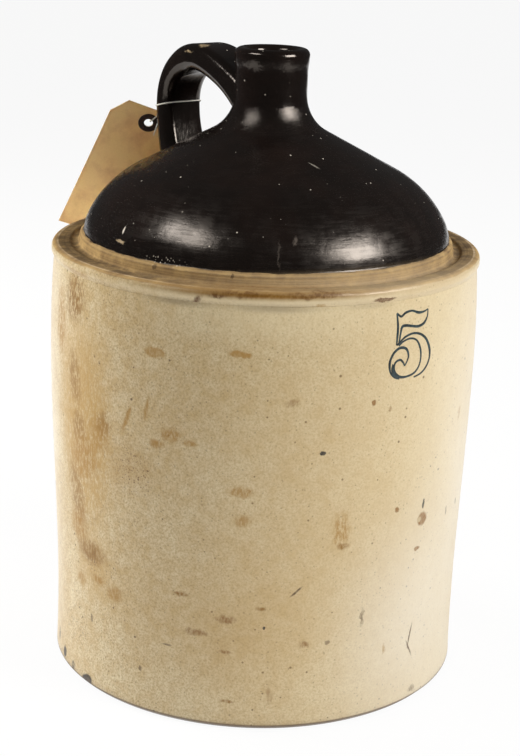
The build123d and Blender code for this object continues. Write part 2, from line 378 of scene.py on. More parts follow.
@dataclass(frozen=True)
class Cloud:
    """A noise: the size of its features, how many finer octaves it has and how strong those are."""

    size: float
    detail: float = 2.0
    roughness: float = 0.5

    def at(self, place: Socket) -> dict[str, object]:
        """Inputs of the noise node that looks it up at a place."""
        return {"Vector": place, "Scale": 1 / self.size, "Detail": self.detail, "Roughness": self.roughness}


@dataclass(frozen=True)
class Dots:
    """Round dots scattered through a glaze.

    Args:
        spacing: Size of the cells that may hold a dot each.
        smallest: Radius of the smallest dot.
        largest: Radius of the largest dot.
        share: Share of the cells that hold one.
    """

    spacing: float
    smallest: float
    largest: float
    share: float

    def scatter(self, tree: Tree, point: Socket) -> Socket:
        """Add the nodes that look the dots up.

        Args:
            tree: The tree that takes the nodes.
            point: Where the glaze is looked up.

        Returns:
            1 inside a dot and 0 outside.
        """
        add = partial(add_node, tree)
        cell = add("ShaderNodeTexVoronoi", {"Vector": point, "Scale": 1 / self.spacing}).node.outputs
        chances = add("ShaderNodeSeparateColor", [cell["Color"]]).node.outputs
        held = add(MATH, [self.share, chances[0]], operation="GREATER_THAN")
        smallest, largest = self.smallest / self.spacing, self.largest / self.spacing
        size = add(RAMP, [chances[1], 0.0, 1.0, smallest, largest])
        inside = add(MATH, [size, cell["Distance"]], operation="SUBTRACT")
        dot = add(RAMP, [inside, 0.0, smallest])
        return add(MATH, [dot, held], operation="MULTIPLY")


def lay_over(tree: Tree, colour: Socket | Colour, *layers: tuple[Socket, Socket | str]) -> Socket:
    """Lay colours over a colour.

    Args:
        tree: The tree that takes the nodes.
        colour: The colour below.
        layers: The share and the colour of each layer, the lowest first.

    Returns:
        The colour with the layers on it.
    """
    for share, tint in layers:
        above = linear(tint) if isinstance(tint, str) else tint
        colour = add_node(tree, MIX, {0: share, 6: colour, 7: above}, 2, data_type="RGBA")
    return colour


def spot_tree() -> Tree:
    """Make the shader group that masks one ragged spot, turned to lie on a wall, or find it once it is made.

    Returns:
        The group.
    """
    found = bpy.data.node_groups.get("Ragged spot")
    if found:
        return found
    numbers = ["Grain", "Turn", "Slant", "Soft", "Ragged", "Broken", "Strength"]
    inputs = {"Vector": ["Point", "Torn", "Centre", "Half sizes"], "Float": numbers}
    tree = new_tree("Ragged spot", SHADER_TREE, inputs, {"Float": ["Mask"]})
    add = partial(add_node, tree)
    given = add(GIVEN).node.outputs
    pull = add(VECTOR, {0: given["Torn"], "Scale": given["Ragged"]}, operation="SCALE")
    pulled = add(VECTOR, [given["Point"], pull], operation="ADD")
    off = add(VECTOR, [pulled, given["Centre"]], operation="SUBTRACT")
    faced = add(ROTATE, {"Vector": off, "Angle": given["Turn"]}, rotation_type="Z_AXIS")
    slanted = add(ROTATE, {"Vector": faced, "Angle": given["Slant"]}, rotation_type="Y_AXIS")
    shares = add(VECTOR, [slanted, given["Half sizes"]], operation="DIVIDE")
    away = add(VECTOR, [shares], "Value", operation="LENGTH")
    core = add(MATH, [1.0, given["Soft"]], operation="SUBTRACT")
    whole = add(RAMP, [away, core, 1.0, given["Strength"], 0.0], interpolation_type="SMOOTHSTEP")
    kept = add(MIX, {0: given["Broken"], 2: 1.0, 3: given["Grain"]})
    add(RESULT, [add(MATH, [whole, kept], operation="MULTIPLY")])
    return tree


class MarkKind(Enum):
    """How a mark looks: the share of it that fades, how far its edge is torn, and how broken up it is."""

    WASH = (0.95, 18 * MM, 0.45)
    RUB = (0.7, 9 * MM, 0.95)
    STAIN = (0.7, 7 * MM, 0.6)
    SHADE = (1.0, 1.5 * MM, 0.1)
    PEPPER = (0.9, 10 * MM, 1.0)
    SPOT = (0.4, 4 * MM, 0.25)
    MOTTLE = (0.7, 3 * MM, 0.6)
    CHIP = (0.3, 2.5 * MM, 0.15)
    LINE = (0.6, 1.5 * MM, 0.35)


WASH, RUB, STAIN, SHADE, PEPPER, SPOT, MOTTLE, CHIP, LINE = MarkKind


@dataclass(frozen=True)
class Mark:
    """One mark of use or firing on a wall.

    Args:
        bearing: Degrees from the front towards +X.
        height: Height of its middle, in millimetres.
        across: Half its width along the wall, in millimetres.
        up: Half its height, in millimetres.
        tint: Its colour.
        strength: How much of the wall's colour it covers.
        kind: How its edge looks.
        slant: Lean in degrees, positive to the right.
        reach: Distance of its middle from the axis, in millimetres.
        depth: How far it reaches through the wall, in millimetres.
    """

    bearing: float
    height: float
    across: float
    up: float
    tint: str
    strength: float
    kind: MarkKind
    slant: float = 0.0
    reach: float = 149.0
    depth: float = 30.0

    def settings(self) -> dict[str, object]:
        """List the inputs of the spot group for this mark.

        Returns:
            Values by the input's name.
        """
        bearing = math.radians(self.bearing)
        centre = Vector((self.reach * math.sin(bearing), -self.reach * math.cos(bearing), self.height))
        soft, ragged, broken = self.kind.value
        return {
            "Centre": centre * MM,
            "Turn": -bearing,
            "Slant": -math.radians(self.slant),
            "Half sizes": Vector((self.across, self.depth, self.up)) * MM,
            "Soft": soft,
            "Ragged": ragged,
            "Broken": broken,
            "Strength": self.strength,
        }


@dataclass(frozen=True)
class MarkBrush:
    """What the marks share: one noise that tears them, and a vertical grain or dots that break them up."""

    tear: Cloud = Cloud(5 * MM, 4.0, 0.65)
    grain_width: float = 2 * MM
    grain_height: float = 5 * MM
    grain: Cloud = Cloud(1.0, 4.0, 0.7)
    grain_ramp: Pair = (0.4, 0.56)
    pepper: Dots = Dots(1.8 * MM, 0.4 * MM, 0.8 * MM, 0.8)

    def paint(self, tree: Tree, colour: Socket, marks: tuple[Mark, ...]) -> Socket:
        """Lay marks over a colour.

        Args:
            tree: The material's tree.
            colour: The colour below.
            marks: The marks, the lowest first.

        Returns:
            The colour with the marks on it.
        """
        add = partial(add_node, tree)
        point = add(COORD, out="Object")
        torn = add(VECTOR, [add(NOISE, self.tear.at(point), "Color"), GREY], operation="SUBTRACT")
        stretch = (1 / self.grain_width, 1 / self.grain_width, 1 / self.grain_height)
        drawn = add(VECTOR, [point, stretch], operation="MULTIPLY")
        grain = add(RAMP, [add(NOISE, self.grain.at(drawn)), *self.grain_ramp])
        dots = self.pepper.scatter(tree, point)
        layers = []
        for mark in marks:
            shared = {"Point": point, "Torn": torn, "Grain": dots if mark.kind is PEPPER else grain}
            spot = add(GROUP, shared | mark.settings(), node_tree=spot_tree())
            layers.append((spot, mark.tint))
        return lay_over(tree, colour, *layers)


PATTERN_OUTPUTS = {"Color": ["Colour"], "Float": ["Roughness", "Height"]}


def new_material(name: str) -> Material:
    """Make a material with an empty node tree.

    Args:
        name: The material's name.

    Returns:
        The material.
    """
    material = bpy.data.materials.new(name)
    material.use_nodes = True
    material.node_tree.nodes.clear()
    return material


def close_material(
    material: Material, colour: Socket, roughness: Socket, height: Socket, constants: dict[str, object]
) -> Material:
    """Join a colour, a roughness and a relief in millimetres to the material's surface.

    Args:
        material: The material.
        colour: Its base colour.
        roughness: Its roughness.
        height: Its relief.
        constants: What else the surface is set to, such as its index of refraction.

    Returns:
        The same material.
    """
    add = partial(add_node, material.node_tree)
    relief = add("ShaderNodeBump", {"Strength": 1.0, "Distance": MM, "Height": height})
    joined = {"Base Color": colour, "Roughness": roughness, "Normal": relief, **constants}
    add("ShaderNodeOutputMaterial", {"Surface": add("ShaderNodeBsdfPrincipled", joined)})
    return material


@dataclass(frozen=True)
class CreamGlaze:
    """White stoneware glaze, aged to cream: a clear gloss over a warm, blushed ground with iron specks."""

    clean: str = "dccaa4"
    pale: str = "dfcfaa"
    warm: str = "bf9f66"
    grain: str = "9a7740"
    speck: str = "553b1c"
    blush: Cloud = Cloud(85 * MM, 5.0, 0.6)
    mottle: Cloud = Cloud(8 * MM, 4.0, 0.65)
    pepper: Cloud = Cloud(1.4 * MM, 3.0, 0.7)
    peel: Cloud = Cloud(4 * MM, 2.0)
    blush_ramp: Ramp = (0.82, 1.3, 0.0, 0.85)
    pepper_ramp: Ramp = (0.42, 0.7, 0.0, 0.75)
    worn_bearing: float = -118.0
    wear_and_sheen_ramp: Ramp = (-90 * MM, 120 * MM, 0.3, 1.0)
    pinholes: Dots = Dots(2.6 * MM, 0.35 * MM, 0.8 * MM, 0.5)
    pinhole_strength: float = 0.4
    specks: Dots = Dots(5 * MM, 0.4 * MM, 1.1 * MM, 0.14)
    speck_strength: float = 0.8
    rough_ramp: Ramp = (0.3, 0.7, 0.3, 0.44)
    peel_height: float = 0.1
    ior: float = 1.52

    def pattern(self) -> Tree:
        """Build the glaze's colour, roughness and relief, the worn side more stained than the other.

        Returns:
            The group.
        """
        tree = new_tree("White glaze aged to cream", SHADER_TREE, {}, PATTERN_OUTPUTS)
        add = partial(add_node, tree)
        point = add(COORD, out="Object")
        clouds = (self.blush, self.mottle, self.pepper, self.peel)
        blush, mottle, pepper, peel = (add(NOISE, cloud.at(point)) for cloud in clouds)
        blushed = add(RAMP, [add(MATH, [blush, mottle], operation="ADD"), *self.blush_ramp])
        peppered = add(RAMP, [pepper, *self.pepper_ramp])
        stained = lay_over(tree, linear(self.pale), (blushed, self.warm), (peppered, self.grain))
        side = math.radians(self.worn_bearing)
        towards = (math.sin(side), -math.cos(side), 0.0)
        reach = add(VECTOR, [point, towards], "Value", operation="DOT_PRODUCT")
        layers = [(add(RAMP, [reach, *self.wear_and_sheen_ramp]), stained)]
        for dots, strength in ((self.pinholes, self.pinhole_strength), (self.specks, self.speck_strength)):
            shown = add(MATH, [dots.scatter(tree, point), strength], operation="MULTIPLY")
            layers.append((shown, self.speck))
        colour = lay_over(tree, linear(self.clean), *layers)
        rough = add(RAMP, [blush, *self.rough_ramp])
        height = add(MATH, [peel, self.peel_height], operation="MULTIPLY")
        add(RESULT, [colour, rough, height])
        return tree


@dataclass(frozen=True)
class BrownSlip:
    """Brown slip, fired nearly black: a gloss broken by orange peel, wheel lines or runs, with pale pits."""

    dark: str = "130e0c"
    brown: str = "211612"
    fleck: str = "cfc5b5"
    bronze: str = "f4e6d8"
    cloud: Cloud = Cloud(40 * MM, 4.0)
    peel: Cloud = Cloud(9 * MM, 3.0)
    line: Cloud = Cloud(1.0, 3.0, 0.6)
    line_length: float = 16 * MM
    line_width: float = 1.3 * MM
    flecks: Dots = Dots(5 * MM, 0.25 * MM, 0.7 * MM, 0.3)
    brown_ramp: Ramp = (0.45, 0.75, 0.0, 0.6)
    rough_ramp: Ramp = (0.75, 1.25, 0.17, 0.34)
    run_shine: float = 0.55
    peel_height: float = 0.25
    line_height: float = 0.06
    ior: float = 1.66

    def gloss(self) -> dict[str, object]:
        """Return the constants of the slip's surface: a clear gloss, a little bronze from its iron."""
        return {"IOR": self.ior, "Specular Tint": linear(self.bronze)}

    def pattern(self) -> Tree:
        """Build the slip's colour, roughness and relief.

        Returns:
            The group, whose Run turns the fine lines from round the pot at 0 to down it, and glossier, at 1.
        """
        tree = new_tree("Brown slip glaze", SHADER_TREE, {"Float": ["Run"]}, PATTERN_OUTPUTS)
        add = partial(add_node, tree)
        run = add(GIVEN)
        point = add(COORD, out="Object")
        cloud, peel = (add(NOISE, noise.at(point)) for noise in (self.cloud, self.peel))
        long, fine = 1 / self.line_length, 1 / self.line_width
        ways = {0: run, 4: (long, long, fine), 5: (fine, fine, long)}
        stretch = add(MIX, ways, 1, data_type="VECTOR")
        line = add(NOISE, self.line.at(add(VECTOR, [point, stretch], operation="MULTIPLY")))
        brown_share = add(RAMP, [cloud, *self.brown_ramp])
        dots = self.flecks.scatter(tree, point)
        colour = lay_over(tree, linear(self.dark), (brown_share, self.brown), (dots, self.fleck))
        matt = add(RAMP, [add(MATH, [line, peel], operation="ADD"), *self.rough_ramp])
        shine = add(RAMP, [run, 0.0, 1.0, 1.0, self.run_shine])
        rough = add(MATH, [matt, shine], operation="MULTIPLY")
        peeled = add(MATH, [peel, self.peel_height], operation="MULTIPLY")
        height = add(MATH, [line, self.line_height, peeled], operation="MULTIPLY_ADD")
        add(RESULT, [colour, rough, height])
        return tree


@dataclass(frozen=True)
class BareClay:
    """Unglazed buff stoneware: matt and gritty, with turning rings, brown dirt in the low places and a pale
    band of painted highlight along the land's outer edge.
    """

    buff: str = "cba96f"
    burnt: str = "90714a"
    dirt: str = "483a2a"
    pale: str = "dcc4a2"
    cloud: Cloud = Cloud(12 * MM, 5.0, 0.65)
    grit: Cloud = Cloud(1.1 * MM, 2.0)
    ring_spacing: float = 1.6 * MM
    groove_inner: float = 130.8 * MM
    groove_outer: float = 147 * MM
    groove_fade: float = 3 * MM
    edge_inner: float = 144.6 * MM
    edge_outer: float = 146.6 * MM
    edge_fade: float = MM
    burnt_ramp: Ramp = (0.3, 0.7, 0.15, 1.0)
    ring_ramp: Ramp = (0.45, 0.65, 0.0, 0.55)
    soil_ramp: Ramp = (0.35, 0.6, 0.3, 0.75)
    # Share of the painted highlight on the land's outer edge, read from the cloud.
    wear_and_sheen_ramp: Ramp = (0.62, 0.42, 0.1, 0.8)
    rough_ramp: Ramp = (0.3, 0.7, 0.62, 0.85)
    ring_height: float = 0.3
    grit_height: float = 0.15

    def pattern(self) -> Tree:
        """Build the clay's colour, roughness and relief.

        Returns:
            The group.
        """
        tree = new_tree("Bare buff stoneware", SHADER_TREE, {}, PATTERN_OUTPUTS)
        add = partial(add_node, tree)
        point = add(COORD, out="Object")
        flat = add(VECTOR, [point, LEVEL], operation="MULTIPLY")
        radius = add(VECTOR, [flat], "Value", operation="LENGTH")
        track = add(MATH, [radius, add(SPLIT, [point], "Z")], operation="SUBTRACT")
        cloud, grit = (add(NOISE, noise.at(point)) for noise in (self.cloud, self.grit))
        burnt = add(RAMP, [cloud, *self.burnt_ramp])
        turned = {"W": track, "Scale": 1 / self.ring_spacing, "Detail": 3.0}
        ring = add(NOISE, turned, noise_dimensions="1D")
        ringed = add(MATH, [add(RAMP, [ring, *self.ring_ramp]), burnt], operation="MULTIPLY")
        layers = [(burnt, self.burnt), (ringed, self.dirt)]
        # The first band is brown dirt in the groove; the second is a painted highlight, a pale band along
        # the land's outer edge.
        for inner, outer, fade, ramp, tint in (
            (self.groove_inner, self.groove_outer, self.groove_fade, self.soil_ramp, self.dirt),
            (self.edge_inner, self.edge_outer, self.edge_fade, self.wear_and_sheen_ramp, self.pale),
        ):
            past = add(RAMP, [radius, inner, inner + MM])
            before = add(RAMP, [radius, outer, outer - fade])
            band = add(MATH, [past, before], operation="MULTIPLY")
            layers.append((add(MATH, [band, add(RAMP, [cloud, *ramp])], operation="MULTIPLY"), tint))
        colour = lay_over(tree, linear(self.buff), *layers)
        rough = add(RAMP, [grit, *self.rough_ramp])
        height = add(MATH, [ring, self.ring_height], operation="MULTIPLY")
        relief = add(MATH, [grit, self.grit_height, height], operation="MULTIPLY_ADD")
        add(RESULT, [colour, rough, relief])
        return tree


# Tints of the stains, chips, dirt and washes, and of the painted light and painted shade.
OCHRE = "a47724"
RUST = "865a1c"
UMBER = "5c4226"
BARK = "4a3722"
SOOT = "1d1814"
BUFF_AND_PAINTED_LIGHT = "c4ab84"
CREAM = "d6c5a0"
SMOKE = "7d7268"
PAINTED_SEAM_SHADE = "8d7e66"
PALE = "ddd2c0"
PAINTED_LIGHT = "ebe5da"
PAINTED_RIM_LIGHT = "e8d7b0"
STRAW = "b9934f"
SEPIA = "8a6014"
COCOA = "653f12"
MUD = "2e1e0c"

# Marks at the seam, which the body and the top share: a broad pale band of painted light round the seam, and
# painted shade in the dip of the seam.
SEAM_MARKS = (
    # Painted light: a broad pale band round the seam.
    Mark(-40, 288, 130, 24, PAINTED_RIM_LIGHT, 0.5, WASH, depth=110),
    # Painted shade: grey bands in the dip of the seam.
    Mark(-62, 293, 34, 4, PAINTED_SEAM_SHADE, 0.55, SHADE),
    Mark(-38, 293, 44, 4.5, PAINTED_SEAM_SHADE, 0.55, SHADE),
    Mark(-14, 293, 28, 3.5, PAINTED_SEAM_SHADE, 0.3, SHADE),
)

# Marks on the body: washes first, the pale ones painted light on the right edge, the left edge and the lower
# right, then the golden stain on the left, then spots, lines and chips.
WALL_MARKS = (
    # Painted light: pale washes that brighten the right edge, the left edge and the lower right of the wall.
    Mark(32, 130, 100, 280, PAINTED_LIGHT, 0.35, SHADE, depth=80),
    Mark(-120, 140, 44, 290, PAINTED_LIGHT, 0.35, SHADE, depth=60),
    Mark(4, 60, 90, 130, PAINTED_LIGHT, 0.45, SHADE, depth=60),
    Mark(-50, 70, 110, 90, STRAW, 0.3, SHADE, depth=70),
    Mark(-28, 180, 140, 260, STRAW, 0.28, SHADE, depth=80),
    Mark(-95, 215, 45, 100, STRAW, 0.65, WASH),
    Mark(-92, 185, 44, 90, STRAW, 0.85, RUB),
    Mark(-90, 95, 32, 36, STRAW, 0.7, WASH),
    Mark(-98, 278, 18, 22, SEPIA, 1.0, RUB, slant=-8),
    Mark(-106, 258, 12, 34, OCHRE, 0.9, RUB, slant=-6),
    Mark(-97, 225, 11, 26, SEPIA, 0.7, RUB, slant=-10),
    Mark(-95, 191, 11, 16, SEPIA, 0.7, RUB),
    Mark(-84, 200, 9, 14, SEPIA, 0.7, RUB, slant=15),
    Mark(-97, 140, 14, 34, SEPIA, 0.7, RUB, slant=-14),
    Mark(-93, 172, 22, 24, OCHRE, 0.8, STAIN),
    Mark(-86, 192, 14, 18, OCHRE, 0.6, STAIN),
    Mark(-97, 118, 16, 18, OCHRE, 0.8, STAIN, slant=-14),
    Mark(-91, 103, 22, 12, SEPIA, 0.9, STAIN),
    Mark(-96, 79, 9, 7, OCHRE, 0.8, STAIN),
    Mark(-88, 85, 10, 5, OCHRE, 0.8, STAIN),
    Mark(-81, 80, 10, 9, OCHRE, 0.75, STAIN),
    Mark(-76, 210, 2.4, 15, OCHRE, 0.85, MOTTLE, slant=22),
    Mark(-70, 219, 2, 12, OCHRE, 0.8, MOTTLE, slant=12),
    Mark(-68, 258, 9, 4.5, OCHRE, 0.7, SPOT),
    Mark(-46, 263, 9, 2.6, OCHRE, 0.8, SPOT),
    Mark(-63, 205, 11, 7, OCHRE, 0.8, STAIN),
    Mark(-67, 197, 8, 4, OCHRE, 0.8, MOTTLE),
    Mark(-58, 201, 8, 3, OCHRE, 0.75, MOTTLE),
    Mark(-75, 174, 26, 26, OCHRE, 0.3, SHADE),
    Mark(-74, 173, 24, 26, COCOA, 1.0, PEPPER),
    Mark(-97, 295, 26, 20, UMBER, 0.9, PEPPER),
    Mark(-100, 40, 26, 24, UMBER, 0.8, PEPPER),
    Mark(-87, 95, 26, 18, UMBER, 0.8, PEPPER),
    Mark(-45, 171, 13, 5, OCHRE, 0.75, STAIN),
    Mark(-44, 151, 8, 7, OCHRE, 0.7, STAIN),
    Mark(-33, 232, 6, 4, RUST, 0.5, STAIN),
    Mark(-12, 229, 2.5, 2.5, RUST, 0.95, SPOT),
    Mark(-7, 223, 1.5, 3, RUST, 0.5, SPOT),
    Mark(24, 202, 2.5, 7, OCHRE, 0.55, STAIN),
    Mark(-25, 198, 2.5, 1.5, SOOT, 0.97, CHIP),
    Mark(-19, 143, 9, 18, OCHRE, 0.7, RUB),
    Mark(-18, 131, 6, 3, SEPIA, 0.9, MOTTLE),
    Mark(-2, 150, 2.5, 2.5, RUST, 0.9, SPOT),
    Mark(8, 137, 6, 6, RUST, 0.95, SPOT),
    Mark(7, 137, 2.5, 2.5, CREAM, 0.7, SPOT),
    Mark(8, 148, 1.5, 4, SOOT, 0.9, CHIP),
    Mark(7, 116, 3.5, 2.2, RUST, 0.9, SPOT),
    Mark(21, 133, 1.5, 4, UMBER, 0.6, SPOT),
    Mark(29, 133, 1.5, 3, UMBER, 0.7, SPOT),
    Mark(-60, 94, 7, 2.2, SEPIA, 1.0, MOTTLE),
    Mark(-30, 101, 1, 7, UMBER, 0.95, LINE, slant=48),
    Mark(-39, 89, 5, 2, SEPIA, 0.9, MOTTLE),
    Mark(-48, 80, 9, 4, RUST, 0.8, STAIN),
    Mark(-56, 68, 12, 3, RUST, 0.8, STAIN),
    Mark(-38, 75, 1.2, 1.2, SOOT, 0.9, CHIP),
    Mark(-11, 77, 1.8, 10, UMBER, 0.75, STAIN),
    Mark(-27, 62, 6.5, 3, RUST, 0.8, STAIN),
    Mark(-21, 62, 2.5, 2, UMBER, 0.7, SPOT),
    Mark(-48, 56, 6, 2, RUST, 0.8, MOTTLE),
    Mark(-64, 55, 5, 1, UMBER, 0.75, LINE),
    Mark(-91, 53, 1.5, 4, UMBER, 0.75, SPOT),
    Mark(-72, 32, 1.5, 2.5, UMBER, 0.7, SPOT),
    Mark(-3, 48, 2, 5, OCHRE, 0.5, STAIN),
    Mark(7, 51, 1, 12, UMBER, 0.95, LINE, slant=12),
    Mark(7, 41, 1, 10, UMBER, 0.95, LINE, slant=-28),
    Mark(-36, 25, 3, 8, RUST, 0.45, STAIN),
    Mark(-47, 20, 7, 1.6, SEPIA, 0.9, MOTTLE),
    Mark(-115, 15, 3, 7, MUD, 1.0, MOTTLE),
    Mark(-108, 9, 4, 5, MUD, 1.0, CHIP, slant=20),
    Mark(-101, 6, 4, 5, MUD, 1.0, MOTTLE),
    Mark(-93, 4, 8, 5, MUD, 1.0, CHIP, slant=-20),
    Mark(9, 8, 5, 3, UMBER, 0.6, STAIN),
) + SEAM_MARKS

# Marks on the ledge and the dome: painted light on the front of the ledge and on the bead's side, then the
# rust band under the step.
TOP_MARKS = SEAM_MARKS + (
    # Painted light: a paler buff over the front of the ledge.
    Mark(-12, 302, 250, 13, BUFF_AND_PAINTED_LIGHT, 0.6, SHADE, depth=90),
    # Painted light: a pale band on the side of the bead.
    Mark(-45, 298, 150, 5, PAINTED_RIM_LIGHT, 0.75, SHADE, depth=140),
    Mark(-42, 301.2, 150, 5, SEPIA, 1.0, SHADE, depth=45),
    Mark(-45, 301.4, 30, 2.4, COCOA, 0.7, STAIN),
    Mark(-28, 301.4, 30, 2.6, COCOA, 0.8, STAIN),
    Mark(-97, 296, 20, 3, OCHRE, 0.7, STAIN),
    Mark(-57, 296, 2.6, 6, COCOA, 1.0, MOTTLE, slant=45),
    Mark(-52, 299.5, 8, 2.2, COCOA, 0.95, MOTTLE),
    Mark(-10, 296, 10, 2, COCOA, 0.95, SPOT),
    Mark(-27, 295, 4, 2, OCHRE, 0.6, STAIN),
    Mark(-74, 308, 2, 2, BARK, 0.7, SPOT, reach=131),
    Mark(-50, 308, 1.5, 2, BARK, 0.8, SPOT, reach=131),
    Mark(-90, 325, 1, 3, PALE, 0.95, LINE, reach=122),
    Mark(-90, 318, 6, 1.2, BUFF_AND_PAINTED_LIGHT, 0.7, SPOT, reach=126),
    Mark(-71, 312, 24, 4, PALE, 1.0, PEPPER, reach=127),
    Mark(-37, 321, 1, 11, SMOKE, 0.3, STAIN, reach=123),
    Mark(-32, 330, 1.6, 3.5, SMOKE, 0.5, STAIN, slant=15, reach=119),
    Mark(-14, 368, 0.6, 4, PALE, 0.4, LINE, slant=-60, reach=67),
)

# Chips on the brow of the strap.
STRAP_MARKS = (
    Mark(-170, 434, 6, 2.5, BUFF_AND_PAINTED_LIGHT, 0.9, STAIN, reach=62, depth=5),
    Mark(-166, 429, 2, 1.2, BUFF_AND_PAINTED_LIGHT, 0.8, STAIN, reach=73, depth=6),
)


@dataclass(frozen=True)
class JugFinishes:
    """The fired surfaces of the jug: what each piece of clay is glazed with and where the glaze ends."""

    cream: CreamGlaze = CreamGlaze()
    slip: BrownSlip = BrownSlip()
    clay: BareClay = BareClay()
    brush: MarkBrush = MarkBrush()
    foot_line: float = 4.2 * MM
    foot_bare: float = 0.85
    slip_from: float = 311 * MM
    slip_to: float = 311.5 * MM
    bead_from: float = 303.2 * MM
    bead_to: float = 302.4 * MM
    bead_inner: float = 146 * MM
    run_from: float = 385 * MM
    run_to: float = 400 * MM
    waver: Cloud = Cloud(14 * MM, 3.0)
    waver_height: float = 1.6 * MM

    def wall(self, cream: Tree) -> Material:
        """Make the body's material: cream glaze with its marks, wiped off at the foot.

        Args:
            cream: The cream glaze's pattern.

        Returns:
            The material.
        """
        material = new_material("Cream_glazed_stoneware")
        tree = material.node_tree
        add = partial(add_node, tree)
        height = add(SPLIT, [add(COORD, out="Object")], "Z")
        glaze = add(GROUP, node_tree=cream).node.outputs
        marked = self.brush.paint(tree, glaze["Colour"], WALL_MARKS)
        bare = add(RAMP, [height, self.foot_line, self.foot_line - MM, 0.0, self.foot_bare])
        colour = lay_over(tree, marked, (bare, UMBER))
        return close_material(material, colour, glaze["Roughness"], glaze["Height"], {"IOR": self.cream.ior})

    def strap(self, slip: Tree) -> Material:
        """Make the strap's material: brown slip, chipped to the clay on its brow.

        Args:
            slip: The brown slip's pattern.

        Returns:
            The material.
        """
        material = new_material("Brown_slip_on_strap")
        tree = material.node_tree
        glaze = add_node(tree, GROUP, {"Run": 1.0}, node_tree=slip).node.outputs
        colour = self.brush.paint(tree, glaze["Colour"], STRAP_MARKS)
        return close_material(material, colour, glaze["Roughness"], glaze["Height"], self.slip.gloss())

    def top(self, cream: Tree, slip: Tree, clay: Tree) -> Material:
        """Make the top half's material: cream bead, bare ledge and slip dome, with wavering glaze lines.

        Args:
            cream: The cream glaze's pattern.
            slip: The brown slip's pattern.
            clay: The bare clay's pattern.

        Returns:
            The material.
        """
        material = new_material("Slip_glazed_top")
        tree = material.node_tree
        add = partial(add_node, tree)
        point = add(COORD, out="Object")
        flat = add(VECTOR, [point, LEVEL], operation="MULTIPLY")
        radius = add(VECTOR, [flat], "Value", operation="LENGTH")
        height = add(SPLIT, [point], "Z")
        waver = add(NOISE, self.waver.at(point))
        level = add(MATH, [waver, self.waver_height, height], operation="MULTIPLY_ADD")
        slip_share = add(RAMP, [level, self.slip_from, self.slip_to])
        below = add(RAMP, [level, self.bead_from, self.bead_to])
        outside = add(RAMP, [radius, self.bead_inner, self.bead_inner + MM])
        cream_share = add(MATH, [below, outside], operation="MULTIPLY")
        run = add(RAMP, [height, self.run_from, self.run_to])
        bare, glazed = (add(GROUP, node_tree=pattern).node.outputs for pattern in (clay, cream))
        slipped = add(GROUP, {"Run": run}, node_tree=slip).node.outputs
        fired = ((cream_share, glazed["Colour"]), (slip_share, slipped["Colour"]))
        colour = self.brush.paint(tree, lay_over(tree, bare["Colour"], *fired), TOP_MARKS)
        joined = []
        for output in ("Roughness", "Height"):
            lower = add(MIX, {0: cream_share, 2: bare[output], 3: glazed[output]})
            joined.append(add(MIX, {0: slip_share, 2: lower, 3: slipped[output]}))
        return close_material(material, colour, *joined, self.slip.gloss())


@dataclass(frozen=True)
class GrainedFinish:
    """A finish of two tints, mixed by one fine grain that also sets its roughness and relief.

    Args:
        name: The material's name.
        ground: The main tint.
        above: The tint of the grain.
        grain: The grain.
        share_ramp: How the grain gives the share of its tint.
        rough: Roughness at the low and the high end of the grain.
        relief: Height of the grain, in millimetres.
        ior: Index of refraction.
    """

    name: str
    ground: str
    above: str
    grain: Cloud
    share_ramp: Ramp
    rough: Pair
    relief: float
    ior: float = 1.5

    def material(self) -> Material:
        """Make the material.

        Returns:
            The material.
        """
        material = new_material(self.name)
        tree = material.node_tree
        add = partial(add_node, tree)
        grain = add(NOISE, self.grain.at(add(COORD, out="Object")))
        colour = lay_over(tree, linear(self.ground), (add(RAMP, [grain, *self.share_ramp]), self.above))
        rough = add(RAMP, [grain, 0.0, 1.0, *self.rough])
        height = add(MATH, [grain, self.relief], operation="MULTIPLY")
        return close_material(material, colour, rough, height, {"IOR": self.ior})


# Cobalt brushed on before firing: blue-black where it is thick, bluer where it is thin.
COBALT_LINE = GrainedFinish(
    "Fired_cobalt_line", "1a2628", "3a5054", Cloud(2.5 * MM, 4.0),
    (0.4, 0.75, 0.0, 1.0), (0.25, 0.4), 0.02, 1.52,
)

# Bleached cotton string, two plies: matt, fuzzy and creamy white, darker between the fibres.
COTTON_STRING = GrainedFinish(
    "Cotton_string", "f2ede2", "cfc4ae", Cloud(0.35 * MM, 3.0, 0.7), (0.45, 0.8, 0.0, 0.7), (0.8, 1.0), 0.12
)

# Vulcanised fibre ring: dark red-brown, hard and dull, rubbed paler here and there.
FIBRE_PATCH = GrainedFinish(
    "Vulcanised_fibre", "35201a", "6b452c", Cloud(1.2 * MM, 4.0), (0.5, 0.8, 0.0, 1.0), (0.5, 0.75), 0.05
)


